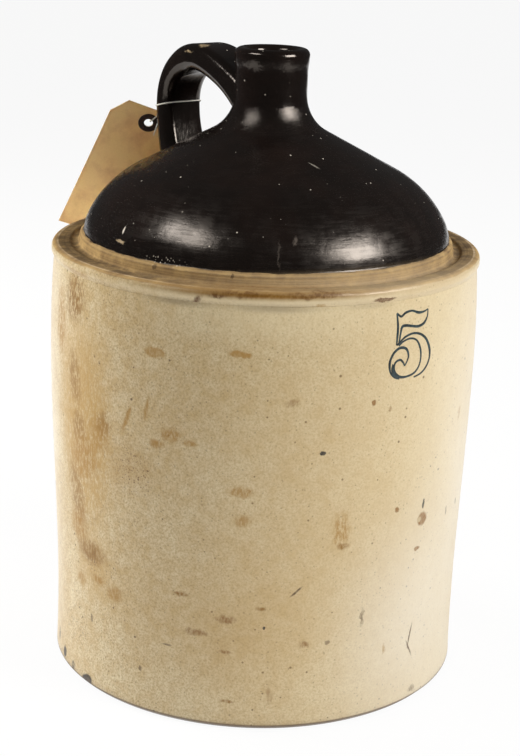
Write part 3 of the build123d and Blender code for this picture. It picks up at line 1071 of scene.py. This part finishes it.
@dataclass(frozen=True)
class ManilaCard:
    """Manila card: calendered buff stock with long fibres, foxing and soiled edges, aglow when backlit."""

    buff: str = "f4dcb2"
    brown: str = "b8956a"
    fibre_length: float = 3 * MM
    fibre_width: float = 0.4 * MM
    fibre: Cloud = Cloud(1.0, 3.0)
    foxing: Cloud = Cloud(16 * MM, 5.0, 0.65)
    foxing_ramp: Ramp = (0.45, 0.75, 0.0, 0.45)
    edge_ramp: Ramp = (0.93, 1.0, 0.0, 0.35)
    fibre_ramp: Ramp = (0.3, 0.7, 0.0, 0.18)
    rough: Pair = (0.55, 0.75)
    relief: float = 0.03
    glow: float = 0.6
    glow_reach: tuple[float, float, float] = (1.0, 0.8, 0.55)
    glow_depth: float = 1.5 * MM
    ior: float = 1.5

    def material(self) -> Material:
        """Make the card's material, which reads the share of the way to the card's edge.

        Returns:
            The material.
        """
        material = new_material("Manila_card")
        tree = material.node_tree
        add = partial(add_node, tree)
        point = add(COORD, out="Object")
        stretch = (1 / self.fibre_width, 1 / self.fibre_width, 1 / self.fibre_length)
        fibre = add(NOISE, self.fibre.at(add(VECTOR, [point, stretch], operation="MULTIPLY")))
        foxed = add(RAMP, [add(NOISE, self.foxing.at(point)), *self.foxing_ramp])
        edge = add("ShaderNodeAttribute", out="Fac", attribute_name="edge_share")
        worn = add(MATH, [foxed, add(RAMP, [edge, *self.edge_ramp])], operation="ADD")
        grained = add(RAMP, [fibre, *self.fibre_ramp])
        share = add(MATH, [worn, grained], operation="ADD", use_clamp=True)
        colour = lay_over(tree, linear(self.buff), (share, self.brown))
        rough = add(RAMP, [fibre, 0.0, 1.0, *self.rough])
        height = add(MATH, [fibre, self.relief], operation="MULTIPLY")
        constants = {
            "IOR": self.ior,
            "Subsurface Weight": self.glow,
            "Subsurface Radius": self.glow_reach,
            "Subsurface Scale": self.glow_depth,
        }
        return close_material(material, colour, rough, height, constants)


class ProfileLine:
    """A profile in the plane of radius and height, drawn run by run from a start and a heading."""

    def __init__(self, radius: float, height: float, heading: float = 0.0) -> None:
        """Start the line.

        Args:
            radius: Radius of the first point.
            height: Height of the first point.
            heading: Direction of travel in degrees, 0 outward and 90 up.
        """
        self.points = [(radius, height)]
        self.heading = heading

    def run_to(self, radius: float, height: float, pieces: int = 1, swell: bool = False) -> None:
        """Draw a run to a point in equal pieces and face along it.

        Args:
            radius: Radius of the point.
            height: Height of the point.
            pieces: How many pieces it is drawn in.
            swell: Whether it is an S, upright at both ends, and not straight.
        """
        start_radius, start_height = self.points[-1]
        out, up = radius - start_radius, height - start_height
        for piece in range(1, pieces + 1):
            share = piece / pieces
            eased = share * share * (3 - 2 * share) if swell else share
            self.points.append((start_radius + out * eased, start_height + up * share))
        self.heading = 90.0 if swell else math.degrees(math.atan2(up, out))

    def turn(self, bend: float, degrees: float, pieces: int) -> None:
        """Draw an arc that leaves along the heading.

        Args:
            bend: Radius of the arc.
            degrees: How far it turns, positive to the left.
            pieces: How many pieces it is drawn in.
        """
        start_radius, start_height = self.points[-1]
        reach = math.copysign(bend, degrees)
        first = math.radians(self.heading)
        for piece in range(1, pieces + 1):
            angle = first + math.radians(degrees) * piece / pieces
            out, up = math.sin(angle) - math.sin(first), math.cos(angle) - math.cos(first)
            self.points.append((start_radius + reach * out, start_height - reach * up))
        self.heading += degrees

    def mesh(self, name: str) -> Mesh:
        """Return the line as a row of points with the radius as X and the height as Z."""
        return line_mesh(name, [(radius, 0.0, height) for radius, height in self.points])


@dataclass(frozen=True)
class Wheel:
    """How a profile is turned: steps round, and the depth and size of the hand's waves and ripples."""

    steps_round: int
    wave: float
    wave_size: float
    ripple: float
    ripple_size: float

    def throw(self, name: str, line: ProfileLine, tree: Tree, finish: Material) -> Piece:
        """Turn a profile round the axis.

        Args:
            name: The piece's name.
            line: The profile.
            tree: The turning tree.
            finish: The piece's material.

        Returns:
            The piece.
        """
        values = {
            "Steps round": self.steps_round,
            "Wave": self.wave,
            "Wave size": self.wave_size,
            "Ripple": self.ripple,
            "Ripple size": self.ripple_size,
            "Finish": finish,
        }
        return shape_piece(name, line.mesh(name + "_profile"), tree, values)


@dataclass
class CrockBody:
    """The cream glazed pot: foot, wall with a waist and a belly, rim, hollow and floor."""

    seam_height: float = 294 * MM
    foot_radius: float = 146.6 * MM
    foot_bevel: float = 3 * MM
    waist_radius: float = 146.2 * MM
    waist_height: float = 75 * MM
    belly_radius: float = 149.8 * MM
    belly_height: float = 262 * MM
    seam_radius: float = 148.1 * MM
    seam_round: float = 0.05 * MM
    bore_radius: float = 135.2 * MM
    floor_height: float = 14 * MM
    floor_corner: float = 16 * MM
    wall_pieces: int = 64
    wheel: Wheel = Wheel(320, 1.1 * MM, 120 * MM, 0.35 * MM, 9 * MM)

    def wall_reach(self, height: float) -> float:
        """Radius of the wall at a height: the one cubic through foot, waist, belly and seam.

        Args:
            height: The height.

        Returns:
            The radius.
        """
        knots = (
            (self.foot_bevel, self.foot_radius),
            (self.waist_height, self.waist_radius),
            (self.belly_height, self.belly_radius),
            (self.seam_height - self.seam_round, self.seam_radius),
        )
        reach = 0.0
        for here, radius in knots:
            others = [(height - there) / (here - there) for there, _ in knots if there != here]
            reach += radius * math.prod(others)
        return reach

    def profile(self) -> ProfileLine:
        """Draw the pot's section from the middle of its base, up the wall and down the hollow.

        Returns:
            The section.
        """
        line = ProfileLine(0.0, 0.0)
        line.run_to(self.foot_radius - self.foot_bevel, 0.0, 4)
        line.run_to(self.foot_radius, self.foot_bevel, 3)
        top = self.seam_height - self.seam_round
        for piece in range(1, self.wall_pieces + 1):
            height = self.foot_bevel + (top - self.foot_bevel) * piece / self.wall_pieces
            line.points.append((self.wall_reach(height), height))
        line.heading = 90.0
        line.turn(self.seam_round, 90.0, 5)
        line.run_to(self.bore_radius, self.seam_height, 2)
        line.run_to(self.bore_radius, self.floor_height + self.floor_corner, 6)
        line.turn(self.floor_corner, -90.0, 8)
        line.run_to(0.0, self.floor_height, 4)
        return line

    def build(self, tree: Tree, finish: Material) -> Piece:
        """Turn the pot and let it stand for the body's solid.

        Args:
            tree: The turning tree.
            finish: The wall's material.

        Returns:
            The piece.
        """
        piece = self.wheel.throw("crock_wall", self.profile(), tree, finish)
        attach(piece, "jug")
        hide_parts("crock_body")
        return piece


@dataclass
class DomeTop:
    """The top half: bead, stepped ledge, dome, neck and lip in one moulded piece."""

    seam_height: float = 294 * MM
    bore_radius: float = 135.2 * MM
    seam_radius: float = 148.1 * MM
    bead_radius: float = 149.6 * MM
    bead_height: float = 9.4 * MM
    bead_swell: float = 4 * MM
    bead_top_round: float = 3.6 * MM
    land_radius: float = 137 * MM
    groove_width: float = 6 * MM
    groove_depth: float = 1.4 * MM
    step_height: float = 7.2 * MM
    step_draft: float = 0.9 * MM
    step_bevel: float = 2 * MM
    dome_radius: float = 127.9 * MM
    dome_spring_rise: float = 2.6 * MM
    dome_wall: float = 9 * MM
    shoulder_radius: float = 38 * MM
    shoulder_turn: float = 30.0
    crown_radius: float = 77 * MM
    crown_turn: float = 32.5
    neck_radius: float = 24.8 * MM
    neck_length: float = 15.1 * MM
    neck_fillet: float = 29 * MM
    throat_fillet: float = 36 * MM
    mouth_radius: float = 16.5 * MM
    lip_radius: float = 25.8 * MM
    lip_height: float = 11 * MM
    wheel: Wheel = Wheel(320, 0.9 * MM, 90 * MM, 0.3 * MM, 7 * MM)

    def dome_line(self, line: ProfileLine, inset: float, fillet: float, end_radius: float) -> None:
        """Draw shoulder, crown, flank and the bend into the neck from where the line stands.

        Args:
            line: The line, at the foot of the dome.
            inset: How far in from the outer face.
            fillet: Radius of the bend into the neck.
            end_radius: Radius where the bend ends.
        """
        spring = self.seam_height + self.bead_height + self.dome_spring_rise
        low_bend = self.shoulder_radius - inset
        start_lean = math.asin((line.points[-1][1] - spring) / low_bend)
        lean = math.radians(self.shoulder_turn + self.crown_turn)
        line.heading = 90.0 + math.degrees(start_lean)
        line.turn(low_bend, self.shoulder_turn - math.degrees(start_lean), 14)
        line.turn(self.crown_radius - inset, self.crown_turn, 18)
        fillet_start = end_radius + fillet * (1 - math.cos(lean))
        radius, height = line.points[-1]
        rise = (radius - fillet_start) / math.tan(lean)
        line.run_to(fillet_start, height + rise, 16)
        line.turn(fillet, -math.degrees(lean), 18)

    def foot_of(self, height: float, inset: float) -> float:
        """Radius of the dome's shoulder near its foot.

        Args:
            height: Height of the place.
            inset: How far in from the outer face.

        Returns:
            The radius.
        """
        spring = self.seam_height + self.bead_height + self.dome_spring_rise
        bend = self.shoulder_radius - inset
        return self.dome_radius - self.shoulder_radius + math.sqrt(bend**2 - (height - spring) ** 2)

    def profile(self) -> ProfileLine:
        """Draw the section: seat, bead, ledge, dome, neck, lip, and down the hollow back to the seat.

        Returns:
            The section.
        """
        ledge = self.seam_height + self.bead_height
        step_top = ledge + self.step_height
        step_radius = self.land_radius - self.groove_width
        line = ProfileLine(self.bore_radius, self.seam_height)
        line.run_to(self.seam_radius, self.seam_height, 4)
        line.run_to(self.bead_radius, self.seam_height + self.bead_swell, 8, swell=True)
        line.run_to(self.bead_radius, ledge - self.bead_top_round, 4)
        line.turn(self.bead_top_round, 90.0, 9)
        line.run_to(self.land_radius, ledge, 6)
        half = self.groove_width / 2
        bend = (half**2 + self.groove_depth**2) / (2 * self.groove_depth)
        sweep = 2 * math.degrees(math.asin(half / bend))
        line.heading = 180.0 + sweep / 2
        line.turn(bend, -sweep, 8)
        line.run_to(step_radius - self.step_draft, step_top - self.step_bevel, 5)
        line.run_to(self.foot_of(step_top, 0.0), step_top, 4)
        self.dome_line(line, 0.0, self.neck_fillet, self.neck_radius)
        neck_top = line.points[-1][1] + self.neck_length
        line.run_to(self.neck_radius, neck_top, 6)
        line.run_to(self.lip_radius, neck_top + self.lip_height, 8, swell=True)
        line.turn((self.lip_radius - self.mouth_radius) / 2, 180.0, 16)
        spring = ledge + self.dome_spring_rise
        inner = ProfileLine(self.foot_of(spring, self.dome_wall), spring)
        self.dome_line(inner, self.dome_wall, self.throat_fillet, self.mouth_radius)
        line.points += reversed(inner.points)
        line.run_to(inner.points[0][0], ledge - self.dome_spring_rise, 2)
        line.run_to(self.bore_radius, self.seam_height, 3)
        return line

    def build(self, tree: Tree, finish: Material) -> Piece:
        """Turn the top half and let it stand for its solid.

        Args:
            tree: The turning tree.
            finish: The top's material.

        Returns:
            The piece.
        """
        piece = self.wheel.throw("dome_shell", self.profile(), tree, finish)
        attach(piece, "jug")
        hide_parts("dome_top")
        return piece


@dataclass
class StrapHandle:
    """The pulled strap, which keeps its own solid."""

    node: str = "strap_handle"

    def dress(self, finish: Material) -> Piece:
        """Give the strap its glaze.

        Args:
            finish: The strap's material.

        Returns:
            The strap.
        """
        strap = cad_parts[self.node]
        strap.data.materials.clear()
        strap.data.materials.append(finish)
        return strap


@dataclass(frozen=True)
class Stroke:
    """One brushed line of the capacity mark.

    Args:
        points: Places across and up the wall from the mark's middle, in millimetres.
        thin: Width at its ends, in millimetres.
        thick: Width at its middle, in millimetres.
    """

    points: tuple[tuple[float, float], ...]
    thin: float
    thick: float


@dataclass
class CapacityMark:
    """The capacity in gallons, a brushed outline numeral on the front of the wall."""

    bearing: float = -1.0
    height: float = 264 * MM
    wall_radius: float = 149.6 * MM
    thickness: float = 0.12 * MM
    seed: float = 5.0
    strokes: tuple[Stroke, ...] = (
        # The flag: its top edge, its lower edge down to the bowl, and the stem.
        Stroke(((-13, 22), (-9.5, 19.5), (-5.5, 21.5), (0, 22), (6, 20), (11, 20), (15, 21)), 1.2, 1.7),
        Stroke(
            (
                (15, 21), (14.5, 16.5), (11.5, 12.5), (6, 11), (0, 12), (-5, 13), (-8.5, 12.5), (-10, 7.5),
                (-11, 2.5), (-12.5, 1),
            ),
            1.3,
            2.0,
        ),
        Stroke(((-13, 22), (-12.5, 17.5), (-12, 12), (-12.5, 6), (-13, 1)), 1.3, 1.8),
        # The heel, and the bowl's outer and inner edge.
        Stroke(((-15.5, -11), (-15.5, -15), (-13.5, -18.5), (-10, -21)), 0.8, 2.6),
        Stroke(
            (
                (-11, 2), (-6, 5.5), (1, 7), (8, 5.5), (14, 1), (17.5, -6), (17.5, -12), (14.5, -17.5),
                (9.5, -21), (3, -22.5),
            ),
            1.2,
            1.9,
        ),
        Stroke(
            (
                (-11, 0.5), (-7, 3), (-1, 4), (4.5, 2), (8, -3.5), (9, -9.5), (7.5, -15.5), (3.5, -19.5),
                (-3, -21), (-9, -20.5), (-13, -17.5), (-14.5, -13.5), (-13, -10), (-9.5, -9), (-7, -11),
                (-5.5, -13.5),
            ),
            1.2,
            1.7,
        ),
        # The scroll that ends the bowl.
        Stroke(
            (
                (-5.5, -13.5), (-3.5, -10.5), (-2.5, -7), (-4.5, -2.5), (-9.5, -1), (-14, -3), (-17, -7),
                (-18, -11.5), (-17, -16.5), (-13.5, -20), (-9.5, -21.5),
            ),
            1.2,
            1.9,
        ),
    )

    def lines(self) -> bpy.types.Curve:
        """Draw the strokes flat, each with its swell as the curve's radius.

        Returns:
            The curve.
        """
        curve = bpy.data.curves.new("mark_lines", "CURVE")
        curve.dimensions = "3D"
        for stroke in self.strokes:
            spline = curve.splines.new("POLY")
            spline.points.add(len(stroke.points) - 1)
            for at, (held, (across, up)) in enumerate(zip(spline.points, stroke.points)):
                swell = math.sin(math.pi * at / (len(stroke.points) - 1))
                held.co = (across * MM, 0.0, up * MM, 1.0)
                held.radius = (stroke.thin + (stroke.thick - stroke.thin) * swell) * MM / 2
        return curve

    def build(self, tree: Tree, wall: Piece, finish: Material) -> Piece:
        """Brush the numeral on the wall.

        Args:
            tree: The brushing tree.
            wall: The piece that it lies on.
            finish: The line's material.

        Returns:
            The piece.
        """
        values = {
            "Wall": wall,
            "Bearing": math.radians(self.bearing),
            "Height": self.height,
            "Wall radius": self.wall_radius,
            "Thickness": self.thickness,
            "Seed": self.seed,
            "Finish": finish,
        }
        piece = shape_piece("capacity_mark", self.lines(), tree, values)
        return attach(piece, "jug")


@dataclass
class TieString:
    """The string: one turn round the strap with a knot and a loose end, and a doubled link to the tag."""

    diameter: float = 1.3 * MM
    knot: Vector = Vector((-4.0, 113.73, 383.48)) * MM
    loop_inner: float = 94.85 * MM
    loop_outer: float = 112.38 * MM
    loop_side: float = 17.7 * MM
    corner_cut: float = 4.6 * MM
    edge_room: float = 7.8 * MM
    inner_height: float = 389.9 * MM
    outer_height: float = 385.3 * MM
    loose_end: tuple = ((-3.2, -0.2, -4.8), (-5.6, 0.6, -9.8), (-7.9, 1.1, -15.2), (-9.7, 1.3, -20.2))
    link_plan: tuple = (
        (16.28, -3.03), (9.0, -2.3), (1.8, -1.6), (1.7, 1.7), (7.5, 1.6), (13.5, 1.6), (16.28, -1.08)
    )
    plies: int = 2
    ply_radius: float = 0.3 * MM
    ply_stand: float = 0.26 * MM
    lay: float = 3.4 * MM
    step: float = 0.3 * MM
    knot_size: float = 0.62 * MM
    knot_steps: int = 48
    tie_length: float = 117 * MM
    link_length: float = 31.5 * MM

    def tie_route(self) -> list[Vector]:
        """Draw the turn round the strap, then through the knot and down the loose end.

        Returns:
            Its points in order.
        """
        side, cut, room = self.loop_side, self.corner_cut, self.edge_room
        inner, outer = self.loop_inner, self.loop_outer
        plan = (
            (self.knot.x, outer),
            (cut - side, outer),
            (-side, outer - cut),
            (-side, inner + cut),
            (cut - side, inner),
            (cut - side + room, inner),
            (side - cut - room, inner),
            (side - cut, inner),
            (side, inner + cut),
            (side, outer - cut),
            (side - cut, outer),
            (side - cut - room, outer),
            (self.knot.x + self.diameter / 2, outer),
        )
        fall = (self.outer_height - self.inner_height) / (outer - inner)
        route = [Vector((x, y, self.inner_height + (y - inner) * fall)) for x, y in plan]
        return route + [self.knot + Vector(off) * MM for off in ((0, 0, 0), *self.loose_end)]

    def link_route(self, tag: "ShippingTag") -> list[Vector]:
        """Draw the doubled link, in the plane square to the card from the eyelet to the knot.

        Args:
            tag: The tag that it is tied to.

        Returns:
            The route from the knot through the eyelet and back to the knot.
        """
        outward = tag.turn() @ Vector((0, 1, 0))
        to_knot = self.knot - tag.eyelet
        along = (to_knot - outward * to_knot.dot(outward)).normalized()
        return [tag.eyelet + (along * u + outward * v) * MM for u, v in self.link_plan]

    def knot_route(self) -> list[Vector]:
        """Draw a trefoil, the shape of an overhand knot drawn tight.

        Returns:
            Its points in order.
        """
        points = []
        for at in range(self.knot_steps + 1):
            angle = math.tau * at / self.knot_steps
            across = math.sin(angle) + 2 * math.sin(2 * angle)
            up = math.cos(angle) - 2 * math.cos(2 * angle)
            points.append(self.knot + Vector((across, -math.sin(3 * angle), up)) * self.knot_size)
        return points

    def lay_cord(self, name: str, line: Mesh, tree: Tree, finish: Material) -> Piece:
        """Twist the plies along a line.

        Args:
            name: The piece's name.
            line: The line.
            tree: The twisting tree.
            finish: The string's material.

        Returns:
            The piece.
        """
        values = {
            "Plies": self.plies,
            "Ply radius": self.ply_radius,
            "Ply stand": self.ply_stand,
            "Lay": self.lay,
            "Step": self.step,
            "Finish": finish,
        }
        return shape_piece(name, line, tree, values)

    def build(self, tree: Tree, tag: "ShippingTag", finish: Material) -> list[Piece]:
        """Tie the string on the strap and through the tag.

        Args:
            tree: The twisting tree.
            tag: The tag that hangs on it.
            finish: The string's material.

        Returns:
            The turn, the knot and the link.
        """
        tie_line = smooth_route("tie_route", self.tie_route())
        tie = self.lay_cord("tie_string", tie_line, tree, finish)
        knot = self.lay_cord("tie_knot", line_mesh("knot_route", self.knot_route()), tree, finish)
        link_line = smooth_route("link_route", self.link_route(tag))
        link = self.lay_cord("tag_link", link_line, tree, finish)
        for piece, body, node in ((tie, "jug", "string_loop"), (link, "tag", "string_link")):
            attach(piece, body)
            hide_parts(node)
        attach(knot, "jug")
        return [tie, knot, link]


@dataclass
class ShippingTag:
    """The blank manila tag with its two fibre patches, hung by the eyelet and leaning on the bead."""

    eyelet: Vector = Vector((-9.6, 127.126, 370.783)) * MM
    length: float = 120.65 * MM
    width: float = 60.3 * MM
    thickness: float = 0.6 * MM
    clip_across: float = 9.75 * MM
    clip_down: float = 13 * MM
    eyelet_radius: float = 3.3 * MM
    eyelet_below_top: float = 12.2 * MM
    patch_radius: float = 7.6 * MM
    patch_thickness: float = 0.3 * MM
    rim_share: float = 0.5
    hole_round: float = 0.3
    bearing: float = 35.1
    roll: float = 21.3
    lean: float = 22.81
    curl: float = 2.5 * MM
    side_curl: float = 0.25
    rings: int = 22
    spokes: int = 96
    wheel: Wheel = Wheel(64, 0.2 * MM, 4 * MM, 0.0, 10 * MM)

    def turn(self) -> Matrix:
        """Rotation of the tag: its own X lies across the card, its Y points out of it and its -Z down it."""
        return (
            Matrix.Rotation(math.radians(-self.bearing), 3, "Z")
            @ Matrix.Rotation(math.radians(self.lean), 3, "X")
            @ Matrix.Rotation(math.radians(self.roll), 3, "Y")
        )

    def outline(self) -> list[tuple[float, float]]:
        """List the corners of the card.

        Returns:
            Places across and down from the eyelet.
        """
        half = self.width / 2
        top = -self.eyelet_below_top
        bottom = top + self.length
        return [
            (self.clip_across - half, top),
            (half - self.clip_across, top),
            (half, top + self.clip_down),
            (half, bottom),
            (-half, bottom),
            (-half, top + self.clip_down),
        ]

    def reach(self, angle: float) -> float:
        """Find the distance from the eyelet to the card's edge.

        Args:
            angle: Direction from the eyelet, 0 across the card and a quarter turn down it.

        Returns:
            The distance.
        """
        east, south = math.cos(angle), math.sin(angle)
        corners = self.outline()
        found = []
        for (x0, y0), (x1, y1) in zip(corners, corners[1:] + corners[:1]):
            side = east * (y1 - y0) - south * (x1 - x0)
            if abs(side) > 1e-12:
                distance = (x0 * (y1 - y0) - y0 * (x1 - x0)) / side
                if distance > 0:
                    found.append(distance)
        return min(found)

    def bend(self, across: float, down: float) -> float:
        """Find how far the card curls away from the jug.

        Args:
            across: Place across the card from the eyelet.
            down: Place down it.

        Returns:
            The distance.
        """
        fall = max(0.0, down) / (self.length - self.eyelet_below_top)
        return self.curl * fall**2 - self.side_curl * self.curl * (across / (self.width / 2)) ** 2 * fall

    def card_mesh(self) -> Mesh:
        """Make the card in rings from its hole to its edge, with the share of the way as an attribute.

        Returns:
            The mesh.
        """
        angles = [math.tau * spoke / self.spokes for spoke in range(self.spokes)]
        angles += [math.atan2(y, x) % math.tau for x, y in self.outline()]
        angles = sorted(set(angles))
        turn = self.turn()
        places, shares, faces = [], [], []
        for ring in range(self.rings + 1):
            share = ring / self.rings
            for angle in angles:
                distance = self.eyelet_radius + (self.reach(angle) - self.eyelet_radius) * share
                across, down = distance * math.cos(angle), distance * math.sin(angle)
                places.append(self.eyelet + turn @ Vector((across, self.bend(across, down), -down)))
                shares.append(share)
        count = len(angles)
        for ring in range(self.rings):
            for at in range(count):
                after = (at + 1) % count
                low, high = ring * count, (ring + 1) * count
                faces.append((low + at, low + after, high + after, high + at))
        mesh = bpy.data.meshes.new("tag_sheet")
        mesh.from_pydata(places, [], faces)
        edge = mesh.attributes.new("edge_share", "FLOAT", "POINT")
        edge.data.foreach_set("value", shares)
        return mesh

    def build_card(self, finish: Material) -> Piece:
        """Make the card with its thickness.

        Args:
            finish: The card's material.

        Returns:
            The piece.
        """
        card = place_piece("tag_sheet", self.card_mesh())
        thicken = card.modifiers.new("Thickness", "SOLIDIFY")
        thicken.thickness = self.thickness
        thicken.offset = 0.0
        made = plain_mesh(card)
        card.modifiers.clear()
        card.data = made
        made.materials.append(finish)
        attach(card, "tag")
        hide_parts("tag_card")
        return card

    def build_patch(self, name: str, node: str, side: float, tree: Tree, finish: Material) -> Piece:
        """Make one fibre ring, pressed thinner at its rim.

        Args:
            name: The piece's name.
            node: The solid that it stands for.
            side: 1 for the face towards the handle, -1 for the face towards the front.
            tree: The turning tree.
            finish: The ring's material.

        Returns:
            The piece.
        """
        low = self.thickness / 2
        high = low + self.patch_thickness
        line = ProfileLine(self.eyelet_radius, low)
        line.run_to(self.patch_radius, low, 2)
        line.run_to(self.patch_radius, low + self.patch_thickness * self.rim_share, 2)
        line.run_to(self.patch_radius - self.patch_thickness, high, 3)
        line.run_to(self.eyelet_radius + self.patch_thickness, high, 3)
        line.run_to(self.eyelet_radius, high - self.patch_thickness * self.hole_round, 2)
        line.run_to(self.eyelet_radius, low, 2)
        patch = self.wheel.throw(name, line, tree, finish)
        face = Matrix.Rotation(math.radians(-90.0 * side), 4, "X")
        patch.data.transform(Matrix.Translation(self.eyelet) @ self.turn().to_4x4() @ face)
        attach(patch, "tag")
        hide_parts(node)
        return patch


@dataclass(frozen=True)
class SoftBox:
    """A soft box that faces the jug.

    Args:
        name: The lamp's name.
        bearing: Degrees from the front towards +X.
        rise: Degrees above the horizon.
        distance: Distance from the jug.
        width: Its width.
        height: Its height.
        power: Watts.
        mirrored: Whether it shows in gloss; one that stands in for a far, wide light doesn't.
    """

    name: str
    bearing: float
    rise: float
    distance: float
    width: float
    height: float
    power: float
    mirrored: bool = True

    def hang(self, subject: Vector) -> None:
        """Hang the lamp.

        Args:
            subject: The point that it faces.
        """
        data = bpy.data.lights.new(self.name, "AREA")
        data.shape = "RECTANGLE"
        data.size = self.width
        data.size_y = self.height
        data.energy = self.power
        lamp = place_piece(self.name, data)
        lamp.visible_glossy = self.mirrored
        side, up = math.radians(self.bearing), math.radians(self.rise)
        back = Vector((math.sin(side) * math.cos(up), -math.cos(side) * math.cos(up), math.sin(up)))
        facing = (-back).to_track_quat("-Z", "Y").to_matrix().to_4x4()
        lamp.matrix_world = Matrix.Translation(subject + back * self.distance) @ facing


@dataclass
class Studio:
    """Pale paper floor, four soft boxes, a dim white room and the camera."""

    left_box: SoftBox = SoftBox("left_box", -104.0, 46.0, 1.6, 0.75, 0.3, 7.0)
    back_box: SoftBox = SoftBox("back_box", -152.0, 20.0, 1.8, 1.2, 1.0, 38.0, False)
    right_box: SoftBox = SoftBox("right_box", 92.0, 35.0, 1.8, 1.4, 1.2, 9.0, False)
    front_box: SoftBox = SoftBox("front_box", 20.0, 30.0, 1.8, 0.85, 0.75, 28.0)
    camera_place: Vector = Vector((-749.2, -867.9, 551.7)) * MM
    camera_bearing: float = 40.75
    camera_pitch: float = 16.926
    camera_roll: float = 1.919
    lens: float = 79.17
    sensor: float = 36.0
    subject: Vector = Vector((0.0, 0.0, 0.25))
    room_light: float = 0.05
    paper_width: float = 2.8
    paper_front: float = 1.0
    paper_back: float = 12.0
    paper_drop: float = 0.2 * MM
    floor_white: str = "f4f3f0"
    floor_glow: float = 0.93

    def aim_camera(self) -> None:
        """Put the camera where the photograph was taken from."""
        data = bpy.data.cameras.new("camera")
        data.lens = self.lens
        data.sensor_width = self.sensor
        camera = place_piece("camera", data)
        bearing, pitch = math.radians(self.camera_bearing), math.radians(self.camera_pitch)
        level = math.cos(pitch)
        ahead = Vector((math.sin(bearing) * level, math.cos(bearing) * level, -math.sin(pitch)))
        upright = ahead.to_track_quat("-Z", "Y").to_matrix()
        tilt = Matrix.Rotation(math.radians(self.camera_roll), 3, "Z")
        camera.matrix_world = Matrix.Translation(self.camera_place) @ (upright @ tilt).to_4x4()
        bpy.context.scene.camera = camera

    def lay_floor(self) -> None:
        """Roll pale paper out along the view, nearly white to the camera but still taking the shadow."""
        half = self.paper_width / 2
        front, back = -self.paper_front, self.paper_back
        corners = [(-half, front, 0), (half, front, 0), (half, back, 0), (-half, back, 0)]
        mesh = bpy.data.meshes.new("floor")
        mesh.from_pydata(corners, [], [(0, 1, 2, 3)])
        along = Matrix.Rotation(-math.radians(self.camera_bearing), 4, "Z")
        mesh.transform(Matrix.Translation((0, 0, -self.paper_drop)) @ along)
        floor = place_piece("floor", mesh)
        material = new_material("Pale_studio_floor")
        add = partial(add_node, material.node_tree)
        rays = add("ShaderNodeLightPath").node.outputs
        seen = add(MATH, [rays["Is Camera Ray"], rays["Is Glossy Ray"]], operation="MAXIMUM")
        shown = add(MATH, [seen, rays["Is Transmission Ray"]], operation="MAXIMUM")
        share = add(MATH, [shown, self.floor_glow], operation="MULTIPLY")
        matt = add("ShaderNodeBsdfDiffuse", {"Color": linear(self.floor_white)})
        glow = add("ShaderNodeEmission", {"Color": WHITE, "Strength": 1.0})
        add("ShaderNodeOutputMaterial", {"Surface": add("ShaderNodeMixShader", [share, matt, glow])})
        mesh.materials.append(material)

    def build(self) -> None:
        """Set the room's light, the soft boxes, the floor and the camera."""
        scene = bpy.context.scene
        scene.view_settings.view_transform = "Standard"
        scene.world = scene.world or bpy.data.worlds.new("room")
        scene.world.use_nodes = True
        tree = scene.world.node_tree
        tree.nodes.clear()
        sky = add_node(tree, "ShaderNodeBackground", {"Color": WHITE, "Strength": self.room_light})
        add_node(tree, "ShaderNodeOutputWorld", {"Surface": sky})
        for box in (self.left_box, self.back_box, self.right_box, self.front_box):
            box.hang(self.subject)
        self.lay_floor()
        self.aim_camera()


def main() -> None:
    """Build the jug piece by piece, light it and log how many faces each piece has."""
    logging.basicConfig(level=logging.INFO, format="%(name)s: %(message)s")
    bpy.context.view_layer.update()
    Studio().build()
    turning, twisting, brushing = turned_wall_tree(), twisted_cord_tree(), brushed_line_tree()
    finishes = JugFinishes()
    cream, slip, clay = finishes.cream.pattern(), finishes.slip.pattern(), finishes.clay.pattern()
    tag = ShippingTag()
    pieces = TieString().build(twisting, tag, COTTON_STRING.material())
    wall = CrockBody().build(turning, finishes.wall(cream))
    pieces.append(wall)
    pieces.append(DomeTop().build(turning, finishes.top(cream, slip, clay)))
    pieces.append(StrapHandle().dress(finishes.strap(slip)))
    pieces.append(CapacityMark().build(brushing, wall, COBALT_LINE.material()))
    pieces.append(tag.build_card(ManilaCard().material()))
    fibre = FIBRE_PATCH.material()
    pieces.append(tag.build_patch("patch_front", "tag_patch_front", -1.0, turning, fibre))
    pieces.append(tag.build_patch("patch_rear", "tag_patch_rear", 1.0, turning, fibre))
    for piece in pieces:
        log.info("%s has %d faces", piece.name, len(piece.data.polygons))


if __name__ == "__main__":
    main()
